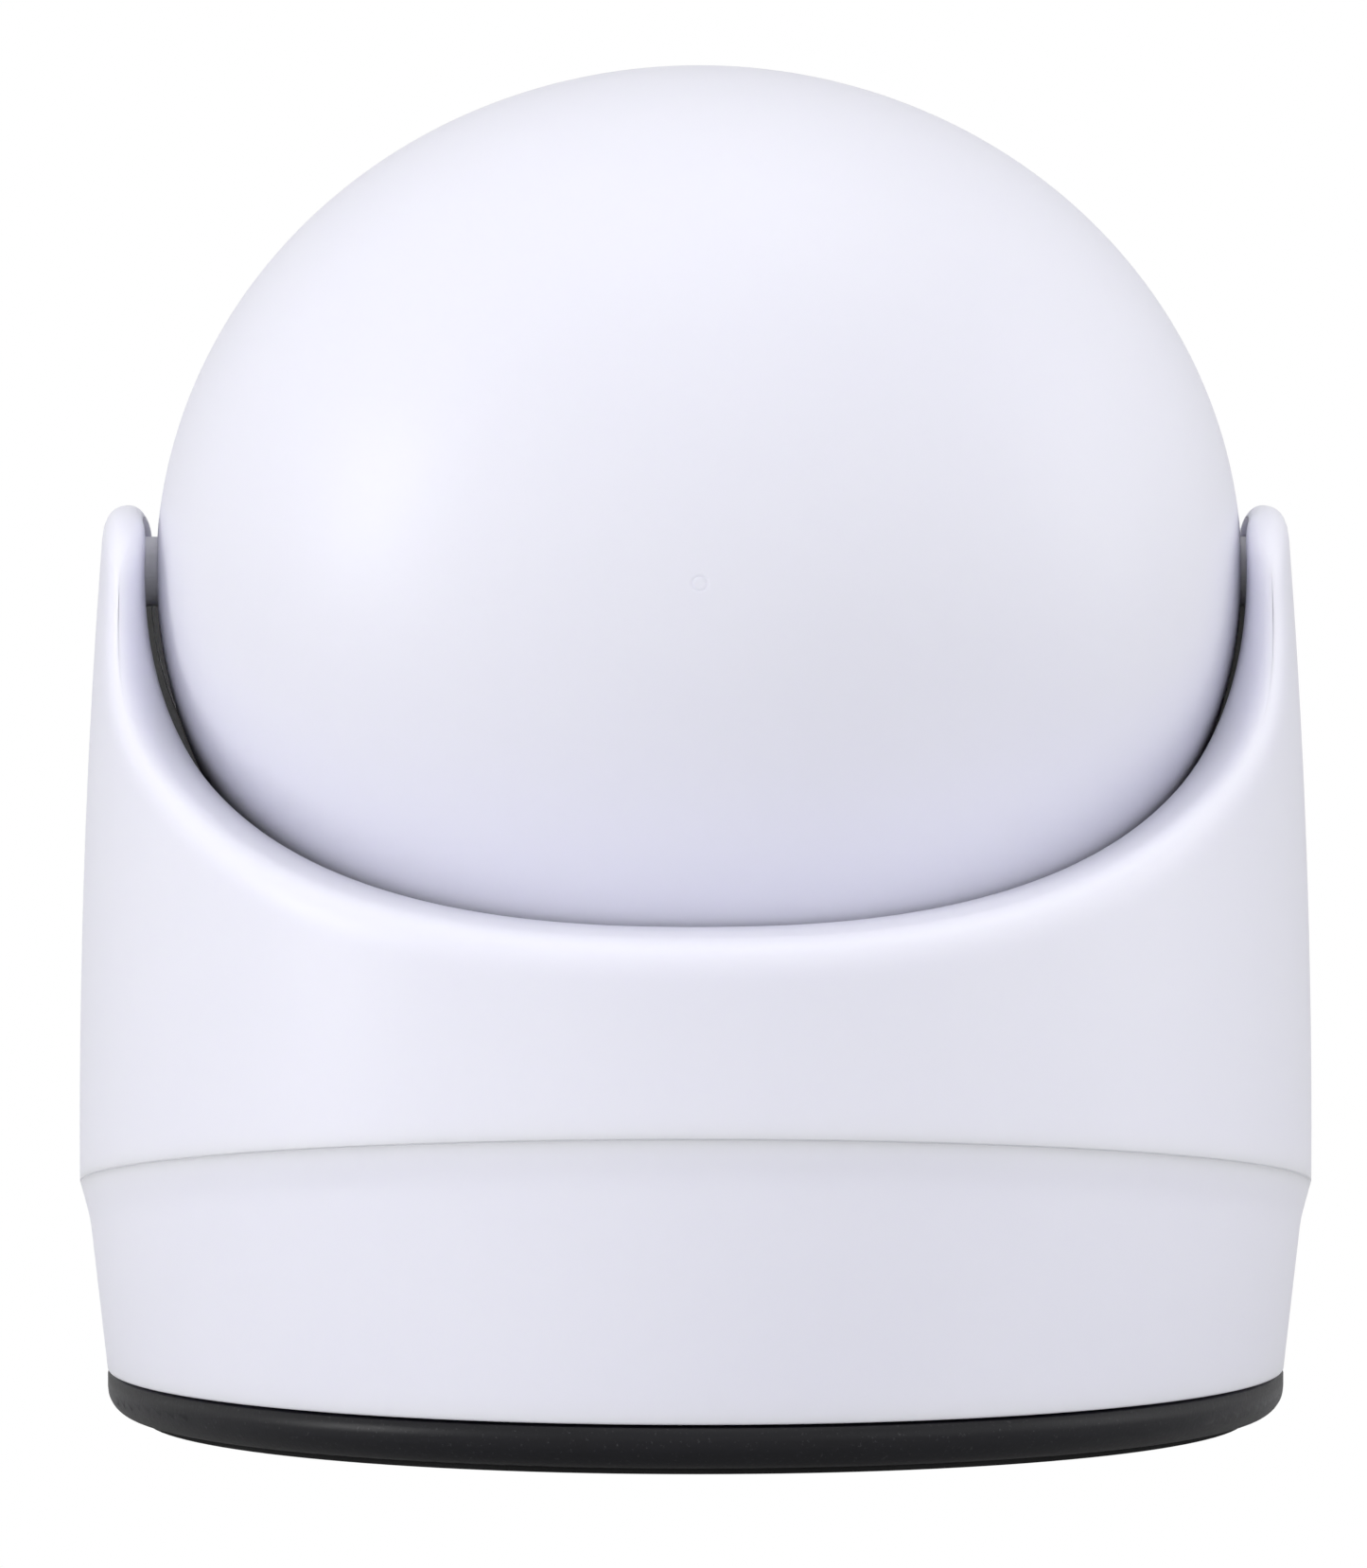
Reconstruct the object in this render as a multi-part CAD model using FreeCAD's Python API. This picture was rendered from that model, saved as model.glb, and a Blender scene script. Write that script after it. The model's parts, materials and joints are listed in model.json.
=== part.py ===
"""Pan and tilt indoor security camera: a ball-shaped head between the two ears of a round drum,
on a low fixed foot. Millimetres, +Z up, lens towards +Y, origin at the centre of the underside.

Bodies: the foot stands still, the drum turns on it about Z, and the head tilts about X.
Each step motor drives a pinion that rolls round a gear fixed to the body below it.
"""
import FreeCAD, Part
import math
import os
from FreeCAD import Vector

os.makedirs("parts", exist_ok=True)

# ---- driving dimensions -------------------------------------------------------------------
RUNNING_GAP = 0.3          # between bodies that move past each other
SHAFT_GAP = 0.05           # radial clearance of a pin in its bearing
WALL = 2.2                 # moulded wall of the white shells

FOOT_RADIUS = 53.4
FOOT_TOP = 4.3
FOOT_EDGE_ROUND = 2.5
PAD_PROUD = 0.6            # how far the rubber ring stands below the foot
PAD_RADII = (46.5, 50.0)
PLATE_TOP = 1.8            # upper face of the plate that closes the foot
PLUG_HALF_WIDTH = 6.8      # pocket for the power plug
PLUG_Y = (16.5, 44.0)
PLUG_TOP = 7.4
CABLE_HALF_WIDTH = 2.6
TRIPOD_BOSS = 8.5
INSERT_RADIUS = 5.0
INSERT_TOP = 7.0
TAP_RADIUS = 2.6           # tapping drill of the quarter-inch camera thread
TUB_RADIUS = 46.3
TUB_TOP = 9.5
TUB_WALL = 1.8

DRUM_WIDEST = 55.9         # radius of the drum where it is widest
DRUM_WIDEST_Z = 25.0
DRUM_ARC = 700.0           # radius of the barrel curve of the drum's side
DRUM_BOTTOM = FOOT_TOP + RUNNING_GAP
CREASE_Z = 21.2            # height of the crease at the two sides
CREASE_SLOPE = 0.147       # the crease rises towards the back
CREASE_RADIUS = 55.85
SKIRT_TOP_RADIUS = 54.95
CREASE_CHAMFER = 3.3       # height of the sloping band under the crease

TILT_AXIS_Z = 76.9
HEAD_HALF_WIDTH = 49.2     # of the spheroid, along the tilt axis
HEAD_RADIUS = 45.8         # of the spheroid, about the tilt axis
HEAD_SHIFT = 0.3           # the head sits a little to one side between the ears
HEAD_SEAM_Y = 8.0          # plane where the front and rear shells meet

BOWL_HALF_WIDTH = 50.0     # hollow that the head turns in
BOWL_RADIUS = 46.3
LINER = 1.0                # thickness of the black lining of the hollow
LINER_SINK = 0.05          # how far the lining lies behind the white lip
LINER_TOP = 78.2
LIGHT_WING = 10.5          # how far forward the lining goes past the notch, to stop light

NOTCH_HALF_WIDTH = 49.0    # U-shaped notch that the head shows through, at the middle
NOTCH_FLARE = 0.12         # growth of that half width per millimetre from the middle
NOTCH_DEPTH = 30.3
NOTCH_POWER = 2.42         # exponent of its superellipse
LIP = 1.2                  # white lip over the lining's edge
SHOULDER = 3.0             # thickness of the shell under the notch
EAR_TOP = 83.2
EAR_CROWN_RADIUS = 26.3
EAR_CROWN_REACH = 22.0

HUB_RADIUS = 9.0
HUB_BORE = 6.5
HUB_TOP = 20.0
FLOOR_Z = 10.0
FLOOR_THICK = 2.0

GEAR_MODULE = 0.8
PAN_GEAR_TEETH = 56
PAN_PINION_TEETH = 14
PAN_GEAR_Z = 14.0
PAN_GEAR_THICK = 4.0
TILT_MODULE = 0.6
TILT_GEAR_TEETH = 48
TILT_PINION_TEETH = 16
TILT_GEAR_THICK = 3.0
PRESSURE_ANGLE = math.radians(20.0)
BACKLASH = 0.14

PIVOT_RADIUS = 3.15
PIVOT_HOLE = 4.6           # hole in the head's side, which the bush's sleeve fills
FACE_RADIUS = 22.0         # black front window of the head
LENS_BEZEL_RADIUS = 11.0
BARREL_RADIUS = 8.0

X_AXIS = Vector(1, 0, 0)
Y_AXIS = Vector(0, 1, 0)
Z_AXIS = Vector(0, 0, 1)
ORIGIN = Vector(0, 0, 0)
HEAD_CENTRE = Vector(HEAD_SHIFT, 0, TILT_AXIS_Z)


# ---- small helpers ------------------------------------------------------------------------
def save(name, shape):
    """Write one piece, or one group of equal pieces, to its own file."""
    shape.exportStep("parts/" + name + ".step")
    print(name, "solids", len(shape.Solids), "volume", round(shape.Volume, 1), shape.isValid())


def cylinder(radius, low, high, x=0.0, y=0.0):
    """Upright cylinder between two heights."""
    return Part.makeCylinder(radius, high - low, Vector(x, y, low), Z_AXIS)


def cylinder_x(radius, low, high, y=0.0, z=TILT_AXIS_Z):
    """Cylinder along X between two places."""
    return Part.makeCylinder(radius, high - low, Vector(low, y, z), X_AXIS)


def cylinder_y(radius, low, high, x=HEAD_SHIFT, z=TILT_AXIS_Z):
    """Cylinder along Y between two places."""
    return Part.makeCylinder(radius, high - low, Vector(x, low, z), Y_AXIS)


def box(low, high):
    """Box from its lowest to its highest corner."""
    size = [b - a for a, b in zip(low, high)]
    return Part.makeBox(size[0], size[1], size[2], Vector(*low))


def turned(points, centre=ORIGIN):
    """Solid of revolution about Z from (radius, height) corners."""
    corners = [Vector(r, 0, z) for r, z in points]
    face = Part.Face(Part.makePolygon(corners + [corners[0]]))
    solid = face.revolve(ORIGIN, Z_AXIS, 360)
    solid.translate(centre)
    return solid


def spheroid(half_width, radius, centre):
    """Solid ball stretched along X."""
    ellipse = Part.Ellipse(ORIGIN, half_width, radius)
    arc = Part.Arc(ellipse, 0, math.pi).toShape()
    axis = Part.makeLine(Vector(-half_width, 0, 0), Vector(half_width, 0, 0))
    solid = Part.Face(Part.Wire([arc, axis])).revolve(ORIGIN, X_AXIS, 360)
    solid.translate(centre)
    return solid


def around(count, radius, start=0.0):
    """Evenly spaced (x, y) places on a circle."""
    step = 2 * math.pi / count
    return [(radius * math.cos(start + i * step), radius * math.sin(start + i * step))
            for i in range(count)]


def half_space(above, slope=CREASE_SLOPE, height=CREASE_Z):
    """Big block above or below the tilted crease plane."""
    reach = 90.0
    low, high = (0, 150) if above else (-100, 0)
    corners = [Vector(-reach, y, height - slope * y + offset)
               for y, offset in ((-reach, low), (reach, low), (reach, high), (-reach, high))]
    face = Part.Face(Part.makePolygon(corners + [corners[0]]))
    return face.extrude(Vector(2 * reach, 0, 0))


def plan_circle(radius, height, slope=0.0):
    """Closed wire that is a circle seen from above, on a plane that drops along +Y."""
    along = Vector(0, 1, -slope).normalize()
    stretch = math.sqrt(1 + slope * slope)
    if slope == 0.0:
        curve = Part.Circle(Vector(0, 0, height), Z_AXIS, radius)
        curve.XAxis = along
    else:
        middle = Vector(0, 0, height)
        curve = Part.Ellipse(middle + along * (radius * stretch), middle + X_AXIS * (-radius), middle)
    return Part.Wire([curve.toShape()])


# ---- gears --------------------------------------------------------------------------------
def involute(angle):
    return math.tan(angle) - angle


def gear_outline(teeth, module):
    """Points round a gear in its own plane, with a tooth centred on the first axis."""
    pitch = teeth * module / 2
    base = pitch * math.cos(PRESSURE_ANGLE)
    tip = pitch + 0.92 * module
    root = pitch - 1.2 * module
    half_at_pitch = math.pi / (2 * teeth) - BACKLASH / (2 * pitch)
    start = max(base, root)
    flank = []
    steps = 4
    for i in range(steps + 1):
        radius = start + (tip - start) * i / steps
        swept = involute(math.acos(min(1.0, base / radius)))
        flank.append((radius, half_at_pitch + involute(PRESSURE_ANGLE) - swept))
    points = []
    for tooth in range(teeth):
        middle = 2 * math.pi * tooth / teeth
        points.append((root, middle - flank[0][1]))
        points += [(radius, middle - half) for radius, half in flank]
        points += [(radius, middle + half) for radius, half in reversed(flank)]
        points.append((root, middle + flank[0][1]))
    return points


def gear(teeth, module, thickness, bore, phase=0.0):
    """Spur gear about Z from height 0, turned by phase."""
    corners = [Vector(r * math.cos(a + phase), r * math.sin(a + phase), 0)
               for r, a in gear_outline(teeth, module)]
    corners = [p for i, p in enumerate(corners) if (p - corners[i - 1]).Length > 1e-4]
    solid = Part.Face(Part.makePolygon(corners + [corners[0]])).extrude(Z_AXIS * thickness)
    return solid.cut(cylinder(bore, -1, thickness + 1))


def lay_along_x(shape):
    """Turn a shape made about Z so that its axis is X and its first axis is Y."""
    shape.rotate(ORIGIN, Vector(1, 1, 1), 120)
    return shape


# ---- foot ---------------------------------------------------------------------------------
FOOT_SCREWS = around(3, 36.0, math.radians(30))


def cable_way():
    """Pocket for the plug under the foot and the channel out through the ring."""
    pocket = box((-PLUG_HALF_WIDTH, PLUG_Y[0], -1), (PLUG_HALF_WIDTH, PLUG_Y[1], PLUG_TOP))
    channel = box((-CABLE_HALF_WIDTH, PLUG_Y[1] - 1, -1), (CABLE_HALF_WIDTH, 60, FOOT_TOP + 1))
    return pocket.fuse(channel)


def pad_groove():
    """Full ring that the rubber pad fills."""
    return cylinder(PAD_RADII[1], 0, 1.4).cut(cylinder(PAD_RADII[0], -1, 2))


def foot_dish():
    """Grained ring, raised tub and hub in one moulding, with the posts inside it."""
    inner = TUB_RADIUS - TUB_WALL
    ceiling = TUB_TOP - TUB_WALL
    ring = turned([(inner, PAD_PROUD), (FOOT_RADIUS, PAD_PROUD), (FOOT_RADIUS, FOOT_TOP),
                   (TUB_RADIUS, FOOT_TOP), (TUB_RADIUS, TUB_TOP), (HUB_RADIUS, TUB_TOP),
                   (HUB_RADIUS, HUB_TOP), (HUB_BORE, HUB_TOP), (HUB_BORE, ceiling), (inner, ceiling)])
    bottom = [e for e in ring.Edges if abs(e.BoundBox.ZMax - PAD_PROUD) < 0.01
              and e.BoundBox.XMax > FOOT_RADIUS - 0.01 and e.BoundBox.ZMin > PAD_PROUD - 0.01]
    ring = ring.makeFillet(FOOT_EDGE_ROUND, bottom[:1])
    boss = cylinder(TRIPOD_BOSS, PLATE_TOP, ceiling)
    posts = [cylinder(3.2, PLATE_TOP, ceiling, x, y) for x, y in FOOT_SCREWS]
    walls = box((-PLUG_HALF_WIDTH - 1.5, PLUG_Y[0], PLATE_TOP),
                (PLUG_HALF_WIDTH + 1.5, inner + 0.5, ceiling))
    dish = ring.fuse([boss, walls] + posts).cut(cable_way()).cut(pad_groove())
    dish = dish.cut(cylinder(INSERT_RADIUS, 0, INSERT_TOP)).cut(cylinder(3.3, 0, TUB_TOP))
    return dish.cut(Part.makeCompound([cylinder(1.2, 0, 7.5, x, y) for x, y in FOOT_SCREWS]))


def base_plate():
    """Plate that closes the foot from below, open round the plug and the tripod bush."""
    plate = cylinder(TUB_RADIUS - TUB_WALL - 0.2, PAD_PROUD, PLATE_TOP)
    plate = plate.cut(box((-PLUG_HALF_WIDTH - 0.2, PLUG_Y[0] - 0.5, 0),
                          (PLUG_HALF_WIDTH + 0.2, 50, 3)))
    holes = [cylinder(1.6, 0, 3, x, y) for x, y in FOOT_SCREWS]
    return plate.cut(cylinder(INSERT_RADIUS + 1.5, 0, 3)).cut(Part.makeCompound(holes))


def pad_ring():
    """Rubber ring, open where the cord leaves."""
    gap = box((-CABLE_HALF_WIDTH - 0.4, 40, -1), (CABLE_HALF_WIDTH + 0.4, 60, 3))
    return pad_groove().cut(gap)


def tripod_insert():
    """Flanged brass bush, tapped for a quarter-inch camera screw."""
    flange = cylinder(INSERT_RADIUS + 1.3, PAD_PROUD, PLATE_TOP)
    bush = cylinder(INSERT_RADIUS, PLATE_TOP, INSERT_TOP).fuse(flange)
    return bush.cut(cylinder(TAP_RADIUS, 0, 8))


def power_board():
    return box((-11, 8.8, 6.0), (11, 16.3, 7.2))


def power_socket():
    """Oval metal shell of the charging socket, open towards the plug pocket."""
    shell = box((-4.5, 9.0, 2.8), (4.5, 16.4, 6.0))
    shell = shell.makeFillet(1.4, [e for e in shell.Edges if abs(e.BoundBox.YLength - 7.4) < 0.01])
    hollow = box((-4.1, 10.0, 3.2), (4.1, 17.0, 5.6))
    hollow = hollow.makeFillet(1.1, [e for e in hollow.Edges if abs(e.BoundBox.YLength - 7.0) < 0.01])
    return shell.cut(hollow)


def socket_tongue():
    return box((-3.3, 10.0, 4.05), (3.3, 15.6, 4.75))


def foot_screws():
    screws = []
    for x, y in FOOT_SCREWS:
        shank = cylinder(1.2, 1.0, 7.0, x, y)
        head = cylinder(1.5, PAD_PROUD, 1.4, x, y)
        cross = box((x - 0.9, y - 0.2, 0), (x + 0.9, y + 0.2, 1.0))
        cross = cross.fuse(box((x - 0.2, y - 0.9, 0), (x + 0.2, y + 0.9, 1.0)))
        screws.append(shank.fuse(head).cut(cross))
    return Part.makeCompound(screws)


def pan_gear():
    wheel = gear(PAN_GEAR_TEETH, GEAR_MODULE, PAN_GEAR_THICK, HUB_RADIUS)
    wheel.translate(Vector(0, 0, PAN_GEAR_Z))
    slots = [cylinder(3.0, 0, 30, x, y) for x, y in around(6, 15.0, math.radians(30))]
    return wheel.cut(Part.makeCompound(slots))


def thrust_washer():
    return cylinder(14.0, TUB_TOP, FLOOR_Z - 0.1).cut(cylinder(HUB_RADIUS + SHAFT_GAP, 0, 20))


def retaining_clip():
    """Spring washer on the hub that keeps the fixed gear down."""
    return cylinder(11.0, PAN_GEAR_Z + PAN_GEAR_THICK, HUB_TOP - 1).cut(cylinder(HUB_RADIUS, 0, 30))


# ---- drum ---------------------------------------------------------------------------------
def barrel(inset, low, high):
    """Barrel-shaped solid whose side keeps inset from the drum's outer curve."""
    def radius_at(z):
        return DRUM_WIDEST - DRUM_ARC + math.sqrt(DRUM_ARC ** 2 - (z - DRUM_WIDEST_Z) ** 2) - inset
    middle = (low + high) / 2
    side = Part.Arc(Vector(radius_at(low), 0, low), Vector(radius_at(middle), 0, middle),
                    Vector(radius_at(high), 0, high)).toShape()
    rest = Part.makePolygon([Vector(radius_at(high), 0, high), Vector(0, 0, high),
                             Vector(0, 0, low), Vector(radius_at(low), 0, low)])
    return Part.Face(Part.Wire([side] + rest.Edges)).revolve(ORIGIN, Z_AXIS, 360)


def notch_section(y, grow):
    """U outline at one distance from the middle: a superellipse below, upright above."""
    half = NOTCH_HALF_WIDTH + NOTCH_FLARE * abs(y) + grow
    depth = NOTCH_DEPTH + grow
    top = EAR_TOP + 20
    points = []
    steps = 24
    for i in range(steps + 1):
        angle = math.pi * i / steps
        across = math.copysign(abs(math.cos(angle)) ** (2 / NOTCH_POWER), math.cos(angle))
        down = abs(math.sin(angle)) ** (2 / NOTCH_POWER) if 0 < i < steps else 0.0
        points.append(Vector(half * across, y, TILT_AXIS_Z - depth * down))
    curve = Part.BSplineCurve()
    curve.interpolate(points, InitialTangent=Vector(0, 0, -1), FinalTangent=Vector(0, 0, 1))
    rest = Part.makePolygon([points[-1], Vector(-half, y, top), Vector(half, y, top), points[0]])
    return Part.Wire([curve.toShape()] + rest.Edges)


def notch(grow=0.0):
    """Solid to cut away: the U outline carried from front to back, wider towards both ends."""
    reach = 65.0
    sections = [notch_section(y, grow) for y in (-reach, 0.0, reach)]
    return Part.makeLoft(sections, True, True)


def crown_cutter():
    """Everything above the rounded tops of the ears."""
    centre = EAR_TOP - EAR_CROWN_RADIUS
    edge = centre + math.sqrt(EAR_CROWN_RADIUS ** 2 - EAR_CROWN_REACH ** 2)
    arc = Part.Arc(Vector(-70, -EAR_CROWN_REACH, edge), Vector(-70, 0, EAR_TOP),
                   Vector(-70, EAR_CROWN_REACH, edge)).toShape()
    high = EAR_TOP + 20
    rest = Part.makePolygon([Vector(-70, EAR_CROWN_REACH, edge), Vector(-70, EAR_CROWN_REACH, high),
                             Vector(-70, -EAR_CROWN_REACH, high),
                             Vector(-70, -EAR_CROWN_REACH, edge)])
    return Part.Face(Part.Wire([arc] + rest.Edges)).extrude(Vector(140, 0, 0))


GRILLE_ROWS = [21.0 + 3.0 * row for row in range(5)]
GRILLE_HALF_WIDTH = 11.0
PIVOT_OUT = 52.6           # where the pivot bosses end inside the ears
HOLLOW_CENTRE = Vector(0, 0, TILT_AXIS_Z)


def hollow(grow=0.0):
    """The round hollow that the head turns in, or a larger copy of it."""
    return spheroid(BOWL_HALF_WIDTH + grow, BOWL_RADIUS + grow, HOLLOW_CENTRE)


def liner_opening():
    """What the lining leaves open: the notch and its lip, but not the wings in front of the axis."""
    wings = box((-60, 0, 40), (60, LIGHT_WING, 100))
    return notch(LIP).cut(wings)


def drum_shell():
    """White upper casing with its two ears and the shoulder round the head."""
    outside = barrel(0, 8, EAR_TOP + 0.5).common(half_space(True)).cut(crown_cutter())
    outside = outside.cut(notch()).cut(hollow())
    inside = barrel(WALL + 0.6, 7, EAR_TOP + 1).cut(notch(SHOULDER)).cut(hollow(LINER))
    inside = inside.cut(box((-60, -60, 62), (60, 60, 100)))
    lining_room = hollow(LINER).cut(liner_opening()).cut(box((-60, 0, LINER_TOP), (60, 60, 140)))
    shell = outside.cut(lining_room).cut(inside)
    for height in GRILLE_ROWS:
        shell = shell.cut(grille_slot(height))
    return shell.cut(cylinder_x(PIVOT_RADIUS, -PIVOT_OUT, PIVOT_OUT))


def grille_slot(height):
    """One long slot with round ends through the front of the drum."""
    half = 0.7
    slot = box((-GRILLE_HALF_WIDTH, 45, height - half), (GRILLE_HALF_WIDTH, 60, height + half))
    ends = [cylinder_y(half, 45, 60, x, height) for x in (-GRILLE_HALF_WIDTH, GRILLE_HALF_WIDTH)]
    return slot.fuse(ends)


def drum_skirt():
    """White lower casing under the crease, drawn in towards the foot."""
    low = plan_circle(FOOT_RADIUS, DRUM_BOTTOM)
    edge = plan_circle(SKIRT_TOP_RADIUS, CREASE_Z - CREASE_CHAMFER, CREASE_SLOPE)
    crease = plan_circle(CREASE_RADIUS, CREASE_Z, CREASE_SLOPE)
    body = Part.makeLoft([low, edge], True, True).fuse(Part.makeLoft([edge, crease], True, True))
    return body.cut(cylinder(FOOT_RADIUS - WALL - 0.8, 0, 60))


def cradle_liner():
    """Black lining of the hollow that the head turns in."""
    liner = hollow(LINER).cut(hollow(LINER_SINK)).cut(liner_opening()).cut(crown_cutter())
    liner = liner.cut(box((-60, -60, LINER_TOP), (60, 60, 140)))
    return liner.cut(cylinder_x(PIVOT_RADIUS, -56, 56))


def drum_floor():
    """Chassis plate that turns on the hub and carries the drum's works."""
    plate = cylinder(FOOT_RADIUS - WALL - 0.9, FLOOR_Z, FLOOR_Z + FLOOR_THICK)
    posts = [cylinder(2.6, FLOOR_Z + 1, PAN_BRACKET_Z, x, y) for x, y in PAN_POSTS]
    return plate.fuse(posts).cut(cylinder(11.0, 0, 30))


def pan_bush():
    """Flanged plastic bearing between the hub and the floor plate."""
    sleeve = cylinder(11.0, FLOOR_Z, PAN_GEAR_Z - RUNNING_GAP)
    flange = cylinder(13.0, FLOOR_Z + FLOOR_THICK, PAN_GEAR_Z - RUNNING_GAP)
    return sleeve.fuse(flange).cut(cylinder(HUB_RADIUS + SHAFT_GAP, 0, 30))


PAN_CENTRES = (PAN_GEAR_TEETH + PAN_PINION_TEETH) * GEAR_MODULE / 2 + 0.05
PAN_MOTOR_X = PAN_CENTRES + 6.0
PAN_MOTOR_RADIUS = 12.0
PAN_BRACKET_Z = 19.0
PAN_MOTOR_Z = (20.4, 32.0)
PAN_POSTS = [(PAN_MOTOR_X, -16.0), (PAN_MOTOR_X, 16.0)]
SHAFT_RADIUS = 1.5


def pan_bracket():
    """Plate on two posts that holds the pan motor over its pinion."""
    plate = box((PAN_MOTOR_X - 6, -19, PAN_BRACKET_Z), (PAN_MOTOR_X + 6, 19, PAN_MOTOR_Z[0]))
    plate = plate.fuse(cylinder(PAN_MOTOR_RADIUS, PAN_BRACKET_Z, PAN_MOTOR_Z[0], PAN_MOTOR_X))
    plate = plate.common(cylinder(49.5, 0, 60))
    return plate.cut(cylinder(4.0, 0, 60, PAN_CENTRES))


def pan_motor():
    can = cylinder(PAN_MOTOR_RADIUS, PAN_MOTOR_Z[0], PAN_MOTOR_Z[1], PAN_MOTOR_X)
    collar = cylinder(3.6, PAN_BRACKET_Z, PAN_MOTOR_Z[0], PAN_CENTRES)
    bore = cylinder(SHAFT_RADIUS + SHAFT_GAP, 0, PAN_MOTOR_Z[0] + 4, PAN_CENTRES)
    return can.fuse(collar).cut(bore)


def pan_shaft():
    return cylinder(SHAFT_RADIUS, PAN_GEAR_Z - 1.5, PAN_MOTOR_Z[0] + 3.5, PAN_CENTRES)


def pan_pinion():
    phase = math.pi + math.pi / PAN_PINION_TEETH
    wheel = gear(PAN_PINION_TEETH, GEAR_MODULE, PAN_GEAR_THICK + 0.6, SHAFT_RADIUS, phase)
    wheel.translate(Vector(PAN_CENTRES, 0, PAN_GEAR_Z - 0.3))
    return wheel


BOARD_Y = (-46.2, -44.6)
BOARD_HALF_WIDTH = 18.0


def main_board():
    board = box((-BOARD_HALF_WIDTH, BOARD_Y[0], FLOOR_Z + FLOOR_THICK),
                (BOARD_HALF_WIDTH, BOARD_Y[1], 38))
    holes = [cylinder_y(1.2, -50, -40, x, z) for x in (-15.5, 15.5) for z in (15, 35)]
    return board.cut(Part.makeCompound(holes))


def board_chips():
    """Processor, memory and regulator packages on the main board."""
    y = BOARD_Y[1]
    places = ((-3, 26, 6, 6), (9, 27, 4, 5), (-13, 24, 3, 3), (10, 17, 3, 2))
    return Part.makeCompound([box((x - w, y, z - h), (x + w, y + 1.2, z + h))
                              for x, z, w, h in places])


def board_connectors():
    y = BOARD_Y[1]
    return Part.makeCompound([box((x - 3, y, 32.2), (x + 3, y + 3, 35.2)) for x in (-11, 0, 11)])


def wifi_antenna():
    """Thin aerial board on edge beside the main board."""
    return box((-41.0, -25.0, FLOOR_Z + FLOOR_THICK), (-40.2, -15.0, 38))


SPEAKER_Y = (39.0, 47.5)
SPEAKER_Z = 27.0


def speaker_frame():
    frame = cylinder_y(14.0, SPEAKER_Y[0], SPEAKER_Y[1], 0, SPEAKER_Z)
    frame = frame.cut(cylinder_y(12.4, SPEAKER_Y[0] + 1.5, SPEAKER_Y[1] + 1, 0, SPEAKER_Z))
    foot = box((-10, SPEAKER_Y[0], FLOOR_Z + FLOOR_THICK), (10, SPEAKER_Y[1], SPEAKER_Z - 13.4))
    return frame.fuse(foot.cut(cylinder_y(13.5, 0, 60, 0, SPEAKER_Z)))


def speaker_cone():
    """Shallow cone with its dust cap."""
    profile = [(0, 44.6), (3.6, 43.9), (4.2, 42.6), (11.2, 46.2), (12.3, 46.2), (12.3, 46.8),
               (11.0, 46.8), (4.4, 43.4), (3.6, 44.7), (0, 45.4)]
    corners = [Vector(r, y, 0) for r, y in profile]
    cone = Part.Face(Part.makePolygon(corners + [corners[0]])).revolve(ORIGIN, Y_AXIS, 360)
    cone.translate(Vector(0, 0, SPEAKER_Z))
    return cone


def speaker_magnet():
    return cylinder_y(7.0, SPEAKER_Y[0] + 1.5, 42.4, 0, SPEAKER_Z)


def grille_mesh():
    """Dust cloth inside the front slots."""
    sheet = barrel(WALL + 0.7, 18, 36).cut(barrel(WALL + 1.1, 17, 37))
    return sheet.common(box((-14, 40, 18.5), (14, 60, 35.5)))


def pivot_boss(side):
    """Round boss that stands from an ear into the head. The left one is longer and carries the
    gear, and the right one is hollow for the wires."""
    inner = 33.9 if side < 0 else 44.0
    low, high = sorted((side * inner, side * PIVOT_OUT))
    boss = cylinder_x(PIVOT_RADIUS, low, high)
    return boss.cut(cylinder_x(1.6, low - 1, high + 1)) if side > 0 else boss


def drum_screws():
    screws = []
    for x, y in around(4, 46.0, math.radians(45)):
        head = cylinder(2.2, FLOOR_Z + FLOOR_THICK, FLOOR_Z + FLOOR_THICK + 1.4, x, y)
        slot = box((x - 1.3, y - 0.25, FLOOR_Z + FLOOR_THICK + 0.8), (x + 1.3, y + 0.25, 15))
        screws.append(head.cut(slot))
    return Part.makeCompound(screws)


# ---- head ---------------------------------------------------------------------------------
TILT_GEAR_X = (-37.5, -37.5 + TILT_GEAR_THICK)
TILT_CENTRES = (TILT_GEAR_TEETH + TILT_PINION_TEETH) * TILT_MODULE / 2 + 0.05
TILT_PINION_Y = -TILT_CENTRES
TILT_MOTOR_X = (-31.6, -18.0)
TILT_MOTOR_RADIUS = 10.0
TILT_MOTOR_Y = TILT_PINION_Y + 1.0
CHASSIS_Y = (10.0, 12.0)
CARD_Z = 52.0
CARD_HALF_WIDTH = 5.5
BUTTON_X = 12.0


def head_skin(inset=0.0):
    return spheroid(HEAD_HALF_WIDTH - inset, HEAD_RADIUS - inset, HEAD_CENTRE)


def front_half(y):
    return box((-70, y, 0), (70, 80, 150))


def head_shell():
    """Hollow ball with the two holes that the pivots pass through."""
    return head_skin().cut(head_skin(WALL)).cut(cylinder_x(PIVOT_HOLE, -60, 60))


def head_rear_shell():
    shell = head_shell().cut(front_half(HEAD_SEAM_Y))
    gate = Part.makeCylinder(0.7, 0.8, Vector(HEAD_SHIFT, -HEAD_RADIUS - 0.4, TILT_AXIS_Z), Y_AXIS)
    rim = Part.makeCylinder(0.5, 0.9, Vector(HEAD_SHIFT, -HEAD_RADIUS - 0.45, TILT_AXIS_Z), Y_AXIS)
    return shell.cut(gate.cut(rim))


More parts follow.
